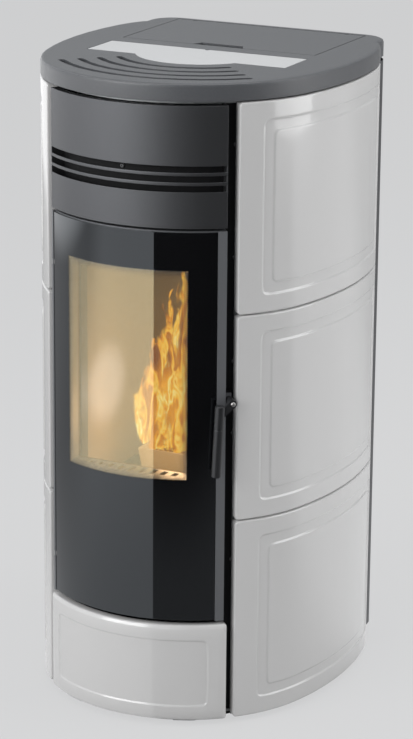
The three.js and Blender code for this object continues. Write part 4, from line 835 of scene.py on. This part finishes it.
sizes = random_value(tree, given["Smallest"], given["Largest"], seed)
lying = set_shapes(tree, spots, given["Item"], turns, sizes)
joined = add(tree, "GeometryNodeJoinGeometry", {0: lying})[0]
tree.links.new(base, joined.node.inputs[0])
end_tree(tree, joined, given["Material"])


# %% A bed to scatter on
def bed_mesh(name, low, high, rise, cells=14):
    """A closed slab from low to high whose top swells by rise in the middle."""
    u, v = np.meshgrid(np.linspace(0, 1, cells), np.linspace(0, 1, cells), indexing="ij")
    x, y = low[0] + (high[0] - low[0]) * u, low[1] + (high[1] - low[1]) * v
    swell = rise * np.sin(math.pi * u) * np.sin(math.pi * v)
    top = np.stack([x, y, high[2] + swell], -1)
    return slab_mesh(name, top, np.stack([x, y, np.full_like(x, low[2])], -1))


def lying_shape(name, rings, sides):
    """A turned shape with its axis along Y."""
    shape = turned_shape(name, rings, sides)
    shape.data.transform(Matrix.Rotation(math.pi / 2, 4, "X"))
    return shape


# %% Pellets in the hopper
pellet_wood = finish(
    "pressed wood", (0.50, 0.33, 0.17), 0.75, 0.0, (900, 4, 0.5, 0.0004), (0.30, 0.18, 0.08)
)
pellet = lying_shape("pellet", [(2.4, -9), (3, -8.4), (3, 8.4), (2.4, 9)], 8)
pellet_bed = bed_mesh("pellet_bed", (-0.154, 0.100, 0.972), (0.154, 0.239, 0.985), 0.016)
pellets = grow(
    "pellets", pellet_bed, heap_tree, Item=pellet, Spacing=0.0055, Per_Area=24000.0, Seed=7,
    Material=pellet_wood,
)
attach(pellets, "root")

# %% Embers in the burn pot
embers_finish = finish("embers", (0.03, 0.025, 0.02), 0.9, 0.0, Emission_Strength=1.0)
tree = embers_finish.node_tree
spread = noise_node(tree, add(tree, "ShaderNodeTexCoord")["Object"], 120.0, 3.0)["Fac"]
heat = color_ramp(tree, spread, [(0.38, (0.10, 0.012, 0.002)), (0.66, (1.0, 0.50, 0.09))])
tree.links.new(heat, tree.nodes["Principled BSDF"].inputs["Emission Color"])
lump = lying_shape("lump", [(2.2, -5), (3.4, -3), (3.1, 2), (1.8, 5)], 6)
pot_low, pot_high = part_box("burn_pot")
WALL, FLOOR, TOP, SWELL = 0.006, 0.04, 0.016, 0.014
bed_low = pot_low.x + WALL, pot_low.y + WALL, pot_high.z - FLOOR
bed_high = pot_high.x - WALL, pot_high.y - WALL, pot_high.z - TOP
ember_bed = bed_mesh("ember_bed", bed_low, bed_high, SWELL, 8)
embers = grow(
    "embers", ember_bed, heap_tree, Item=lump, Spacing=0.006, Per_Area=16000.0, Tilt=0.9, Seed=3,
    Material=embers_finish,
)
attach(embers, "root")

# %% [markdown]
# ## The fire
#
# A flame is a thin bright skin of burning gas, not a solid, so it is made of upright
# curved sheets that are clear where there is no flame. A simulation would move too, but
# this stands for one still moment. The tree sets sheets of random height over the pot,
# turns them every way, and lets them lean and curl more the higher they reach.


# %% One sheet of flame
def flame_sheet(across=7, up=18):
    """An upright sheet, 1 wide and 1 high, bowed a little, with its own UV map."""
    mesh = bpy.data.meshes.new("flame_sheet")
    u, v = np.meshgrid(np.linspace(0, 1, across), np.linspace(0, 1, up), indexing="ij")
    share = np.interp(v, (0, 0.2, 0.42, 0.72, 1), (0.45, 0.85, 1, 0.75, 0.4))
    points = np.stack([(u - 0.5) * share, 0.35 * (u - 0.5) ** 2, v], -1).reshape(-1, 3)
    faces = grid_faces(np.arange(across * up).reshape(across, up))
    mesh.from_pydata(points.tolist(), [], faces.tolist())
    uv = mesh.uv_layers.new(name="sheet")
    flat = np.stack([u, v], -1).reshape(-1, 2)
    uv.data.foreach_set("uv", flat[faces.ravel()].astype(np.float32).ravel())
    mesh.shade_smooth()
    return put("flame_sheet", mesh)


sheet_shape = flame_sheet()
print("sheet faces:", len(sheet_shape.data.polygons))

# %% The tree that sets the sheets
flame_tree, given = geometry_tree(
    "flames", Sheet="Object", Lowest=0.12, Highest=0.33, Width=0.09, Curl=0.05, Curl_Size=9.0,
    Base=0.44, Seed=1,
)
tree = flame_tree
heights = random_value(tree, given["Lowest"], given["Highest"], given["Seed"])
reach_share = attribute(tree, "share")
tall = math_node(tree, "MULTIPLY", heights, reach_share)
wide = math_node(tree, "MULTIPLY", given["Width"], reach_share)
size = add(tree, "ShaderNodeCombineXYZ", {0: wide, 1: wide, 2: tall})[0]
spin = random_value(tree, -0.6, 1.4, math_node(tree, "ADD", given["Seed"], 5.0))
turn = add(tree, "ShaderNodeCombineXYZ", {2: spin})[0]
standing = set_shapes(tree, given["Geometry"], given["Sheet"], turn, size)
solid = add(tree, "GeometryNodeRealizeInstances", {0: standing})[0]
position = add(tree, "GeometryNodeInputPosition")[0]
level = add(tree, "ShaderNodeSeparateXYZ", {0: position})["Z"]
rise = math_node(tree, "SUBTRACT", level, given["Base"])
swirl = noise_node(tree, position, given["Curl Size"], 2.0)["Color"]
centred = vector_node(tree, "ADD", swirl, (-0.5, -0.5, -0.5))
growing = math_node(tree, "MULTIPLY", rise, 8.0)
strength = math_node(tree, "MULTIPLY", growing, given["Curl"])
bent = vector_node(tree, "SCALE", centred, Scale=strength)
flat_bend = vector_node(tree, "MULTIPLY", bent, (1.0, 0.6, 0.4))
moved = {"Geometry": solid, "Offset": flat_bend}
leaning = add(tree, "GeometryNodeSetPosition", moved)[0]
end_tree(tree, leaning, given["Material"])

# %% [markdown]
# The flame's finish gives no light back of its own colour: it only glows. Thin bright
# threads come from the crests of a stretched noise, the colour runs from nearly white
# yellow low down to deep orange above, and the sheet fades out at its ragged edge.

# %% The flame finish
fire_finish = finish("fire", (0, 0, 0), 1.0, Specular_IOR_Level=0.0, Emission_Strength=1.0)
fire_finish.cycles.emission_sampling = "NONE"
tree = fire_finish.node_tree
shader = tree.nodes["Principled BSDF"]
uv = add(tree, "ShaderNodeSeparateXYZ", {0: add(tree, "ShaderNodeTexCoord")["UV"]})
place = add(tree, "ShaderNodeTexCoord")["Object"]
stretched = add(tree, "ShaderNodeMapping", {"Vector": place, "Scale": (1.0, 1.0, 0.42)})[0]
warp = noise_node(tree, stretched, 30.0, 4.0, Distortion=1.3)["Fac"]
crest = math_node(tree, "ABSOLUTE", math_node(tree, "MULTIPLY_ADD", warp, 2.0, -1.0))
thread = math_node(tree, "SUBTRACT", 1.0, math_node(tree, "MULTIPLY", crest, 5.0))
thread_part = add(tree, "ShaderNodeClamp", {"Value": thread})[0]
body_part = noise_node(tree, stretched, 14.0, 2.0)["Fac"]
body_heat = math_node(tree, "MULTIPLY_ADD", body_part, 1.6, -0.28)
heat_value = math_node(tree, "MULTIPLY_ADD", thread_part, 0.46, body_heat)
cooler = math_node(tree, "SUBTRACT", heat_value, math_node(tree, "MULTIPLY", uv["Y"], 0.3))
FIRE_COLORS = [
    (0.12, (0.22, 0.045, 0.004)), (0.34, (0.62, 0.20, 0.012)), (0.52, (0.92, 0.37, 0.022)),
    (0.72, (1.0, 0.56, 0.06)), (0.92, (1.0, 0.82, 0.28)),
]
tree.links.new(color_ramp(tree, cooler, FIRE_COLORS), shader.inputs["Emission Color"])
to_side = math_node(tree, "ABSOLUTE", math_node(tree, "MULTIPLY_ADD", uv["X"], 2.0, -1.0))
inner = math_node(tree, "SUBTRACT", 1.0, to_side)
inner_part = math_node(tree, "MULTIPLY_ADD", inner, 1.3, -0.75)
ragged = noise_node(tree, stretched, 34.0, 4.0, Distortion=0.8)["Fac"]
fuller = math_node(tree, "MULTIPLY_ADD", ragged, 1.5, inner_part)
upper_part = math_node(tree, "MULTIPLY", math_node(tree, "POWER", uv["Y"], 1.6), 1.1)
fading = math_node(tree, "SUBTRACT", fuller, upper_part)
tree.links.new(smooth_step(tree, fading, 0.0, 0.3), shader.inputs["Alpha"])
print("fire nodes:", len(tree.nodes))

# %% The flames on the pot
FLAME_SPOTS = [
    (-60, 4, 0.6), (-46, -12, 0.72), (-32, 14, 0.84), (-20, -16, 0.96), (-8, 10, 1.05),
    (2, -6, 1.12), (12, 14, 1.12), (22, -14, 1.05), (34, 8, 0.95), (46, -4, 0.75),
]
pot_y, flame_foot = (pot_low.y + pot_high.y) / 2, pot_high.z - 0.012
spots = [(x * MM, pot_y + y * MM, flame_foot) for x, y, _ in FLAME_SPOTS]
shares = [share for *_, share in FLAME_SPOTS]
flame_points = point_mesh("flame_points", spots, [(0, 0, 1)] * len(spots), shares)
flames = grow(
    "flames", flame_points, flame_tree, Sheet=sheet_shape, Lowest=0.26, Highest=0.36, Width=0.14,
    Base=pot_high.z, Seed=4, Material=fire_finish,
)
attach(flames, "root")

# %% [markdown]
# The fire's light is painted on the lining, the pot and the door's back as a glow. It falls
# off with the distance from the fire, so it is a shader group with the centre and the reach
# as inputs, and each finish takes the colours it needs. A small warm lamp over the pot does
# the rest: it lights the frame, the sill and the inside of the door.

# %% The glow group
painted_firelight_group, given = new_tree(
    "ShaderNodeTree", "painted firelight falloff",
    {"Centre": "Vector", "Reach": "Float", "Near": "Color", "Far": "Color"}, {"Color": "Color"},
)
place = add(painted_firelight_group, "ShaderNodeTexCoord")["Object"]
away = vector_node(painted_firelight_group, "DISTANCE", place, given["Centre"])
share = smooth_step(painted_firelight_group, away, 0.03, given["Reach"], "SMOOTHERSTEP")
mixed = mix_colors(painted_firelight_group, share, given["Near"], given["Far"])
add(painted_firelight_group, "NodeGroupOutput", {"Color": mixed})


# Paints the fire's light on a finish as an emission glow that fades with the distance from a
# centre.
def paint_firelight(material, near, far, reach=0.3, centre=(0, -0.1, 0.53)):
    tree = material.node_tree
    values = {"Centre": centre, "Reach": reach, "Near": (*near, 1), "Far": (*far, 1)}
    effect = add(tree, "ShaderNodeGroup", values, node_tree=painted_firelight_group)
    shader = tree.nodes["Principled BSDF"]
    tree.links.new(effect["Color"], shader.inputs["Emission Color"])
    shader.inputs["Emission Strength"].default_value = 1.0


# Painted firelight on the back and right linings and the baffle.
paint_firelight(fire_board, (0.09, 0.045, 0.012), (0.015, 0.008, 0.003))
# A small bright painted light spot on the left lining, near its front edge.
paint_firelight(fire_board_painted_light_spot, (0.32, 0.26, 0.20), (0.03, 0.018, 0.008), 0.10, (-0.128, -0.135, 0.555))
# Painted firelight on the back of the door, fading upwards and away from the fire.
paint_firelight(door_plate_painted_firelight, (0.16, 0.065, 0.012), (0.0, 0.0, 0.0), 0.34, (0, -0.25, 0.62))
# Painted firelight on the pot, the shelf and the firebox, strongest round the burn pot.
paint_firelight(sooty_iron_painted_firelight, (0.5, 0.26, 0.08), (0.0, 0.0, 0.0), 0.16, (0, -0.12, 0.48))
print("glow nodes:", len(painted_firelight_group.nodes))

# %% [markdown]
# ## Floor, light and camera
#
# The stove stands on a plain pale floor under soft studio light: a large lamp in front of
# it, one from the right for the tiles, one above, a faint one on the left, and an even grey
# surround. The camera has a long lens, as product cameras do.
#
# The floor is a plain pale sheet. To the camera it is mostly a flat tone with the stove's
# soft shadow on it. In reflections the left half of the studio is bright and the front
# right is dark, as when a white wall and a black flag stand there, and that is what draws
# the upright edge in the curved door glass. Light Path tells the two apart, so no extra
# light reaches the stove.


# %% Where the studio is bright
def side_mask(tree, source, across, start, width):
    """0 to 1 across a line or plane: across is its way, start and width say where."""
    return smooth_step(tree, vector_node(tree, "DOT_PRODUCT", source, across), start, start + width)


# %% The floor
FLOOR_TONE, FLOOR_COLOR, FLOOR_SHADE = 0.585, (0.6, 0.6, 0.6, 1), (0.1, 0.1, 0.1, 1)
BRIGHT_SIDE, LEFT_SIDE, DARK_SIDE = 1.0, 0.6, 0.03
FAR_LEFT_GAIN, NEAR_FRONT_GAIN, NEAR_SHARE = 1.1, 0.2, 0.75
pale_floor = finish(
    "pale floor", FLOOR_COLOR[:3], 0.9, Emission_Color=(0.985, 0.99, 1, 1), Specular_IOR_Level=0.0
)
tree = pale_floor.node_tree
path = add(tree, "ShaderNodeLightPath")
shader = tree.nodes["Principled BSDF"]
place = add(tree, "ShaderNodeTexCoord")["Object"]
glossy = path["Is Glossy Ray"]
seen = math_node(tree, "MAXIMUM", path["Is Camera Ray"], path["Is Transmission Ray"])
right_part = side_mask(tree, place, (1, -0.035, 0), 0.066, 0.01)
front_part = side_mask(tree, place, (0.3, -1, 0), -0.25, 0.5)
dark_part = math_node(tree, "MULTIPLY", right_part, front_part)
far_left = side_mask(tree, place, (-0.8, 0.6, 0), 0.1, 1.2)
beyond = side_mask(tree, place, (-1, 0, 0), 3.2, 0.6)
near_tone = math_node(tree, "MULTIPLY_ADD", far_left, LEFT_SIDE - BRIGHT_SIDE, BRIGHT_SIDE)
left_tone = math_node(tree, "MULTIPLY_ADD", beyond, FAR_LEFT_GAIN, near_tone)
far_front = side_mask(tree, place, (0.2, -1, 0), 0.9, 1.0)
near_shade = DARK_SIDE + NEAR_FRONT_GAIN
shade = math_node(tree, "MULTIPLY_ADD", far_front, -NEAR_FRONT_GAIN, near_shade)
lighter = math_node(tree, "SUBTRACT", shade, left_tone)
side_tone = math_node(tree, "MULTIPLY_ADD", dark_part, lighter, left_tone)
farther = side_mask(tree, place, (-0.6, -0.8, 0), 0.6, 1.6)
part_lit = math_node(tree, "MULTIPLY_ADD", farther, 1 - NEAR_SHARE, NEAR_SHARE)
tone = math_node(tree, "MULTIPLY", side_tone, part_lit)
mirrored = math_node(tree, "MULTIPLY", glossy, tone)
glow = math_node(tree, "MULTIPLY_ADD", seen, FLOOR_TONE, mirrored)
tree.links.new(glow, shader.inputs["Emission Strength"])
shaded = mix_colors(tree, seen, FLOOR_COLOR, FLOOR_SHADE)
unlit = mix_colors(tree, glossy, shaded, (0, 0, 0, 1))
tree.links.new(unlit, shader.inputs["Base Color"])
floor_mesh = bpy.data.meshes.new("floor")
REACH = 30
edges = [(x * REACH, y * REACH, 0) for x, y in ((-1, -1), (1, -1), (1, 1), (-1, 1))]
floor_mesh.from_pydata(edges, [], [(0, 1, 2, 3)])
floor = new_piece("floor", floor_mesh, pale_floor)
print("floor nodes:", len(tree.nodes))

# %% Lamps and surround
SOFTBOXES = {
    "left softbox": ((-2.5, -2.4, 1.7), 0.6, (2.6, 2.6), 13),
    "front softbox": ((-1.6, -3.6, 2.2), 0.6, (2.6, 2.0), 80),
    "right softbox": ((3.4, 1.0, 1.6), 0.6, (2.4, 2.8), 54),
    "top softbox": ((0.2, 0.2, 3.6), 0.9, (2.5, 2.5), 50),
}
for name, (spot, aim_height, (width, height), watts) in SOFTBOXES.items():
    light = bpy.data.lights.new(name, "AREA")
    light.shape, light.size, light.size_y, light.energy = "RECTANGLE", width, height, watts
    lamp = put(name, light)
    lamp.location = spot
    toward = Vector((0, 0, aim_height)) - Vector(spot)
    lamp.rotation_euler = toward.to_track_quat("-Z", "Y").to_euler()

fire_light = bpy.data.lights.new("fire light", "POINT")
fire_light.energy, fire_light.color, fire_light.shadow_soft_size = 0.5, (1, 0.60, 0.28), 0.03
fire_lamp = put("fire light", fire_light)
fire_lamp.location = (0.03, -0.165, 0.495)
fire_lamp.visible_camera = fire_lamp.visible_transmission = False

world = bpy.data.worlds.new("studio surround")
bpy.context.scene.world = world
world.use_nodes = True
tree = world.node_tree
background = tree.nodes["Background"]
background.inputs["Color"].default_value = (0.96, 0.98, 1.0, 1)
PLAIN_SKY, SKY_BRIGHT, SKY_BACK, SKY_DARK = 0.4, 1.0, 0.36, 0.08
glossy = add(tree, "ShaderNodeLightPath")["Is Glossy Ray"]
direction = add(tree, "ShaderNodeTexCoord")["Generated"]
bright_part = side_mask(tree, direction, (-0.85, -0.45, 0), -0.1, 0.6)
back_part = side_mask(tree, direction, (0, 1, 0), 0.3, 0.5)
side_part = math_node(tree, "MULTIPLY_ADD", bright_part, SKY_BRIGHT, SKY_DARK)
mirrored = math_node(tree, "MULTIPLY_ADD", back_part, SKY_BACK, side_part)
change = math_node(tree, "SUBTRACT", mirrored, PLAIN_SKY)
sky = math_node(tree, "MULTIPLY_ADD", glossy, change, PLAIN_SKY)
tree.links.new(sky, background.inputs["Strength"])
bpy.context.scene.view_settings.view_transform = "Standard"

# %% Camera
eye = Vector((2.20437, -4.51982, 2.06264))
aim = Vector((-0.00261, 0.01923, 0.55802))
roll = math.radians(0.48)
away = (eye - aim).normalized()
right = Vector((0, 0, 1)).cross(away).normalized()
up = away.cross(right)
tilted_right = right * math.cos(roll) + up * math.sin(roll)
tilted_up = up * math.cos(roll) - right * math.sin(roll)
camera_data = bpy.data.cameras.new("camera")
camera_data.sensor_width, camera_data.lens = 36, 140.73
camera = put("camera", camera_data)
facing = Matrix((tilted_right, tilted_up, away)).transposed().to_4x4()
camera.matrix_world = Matrix.Translation(eye) @ facing
bpy.context.scene.camera = camera
print("camera distance", round((eye - aim).length, 3), "m")
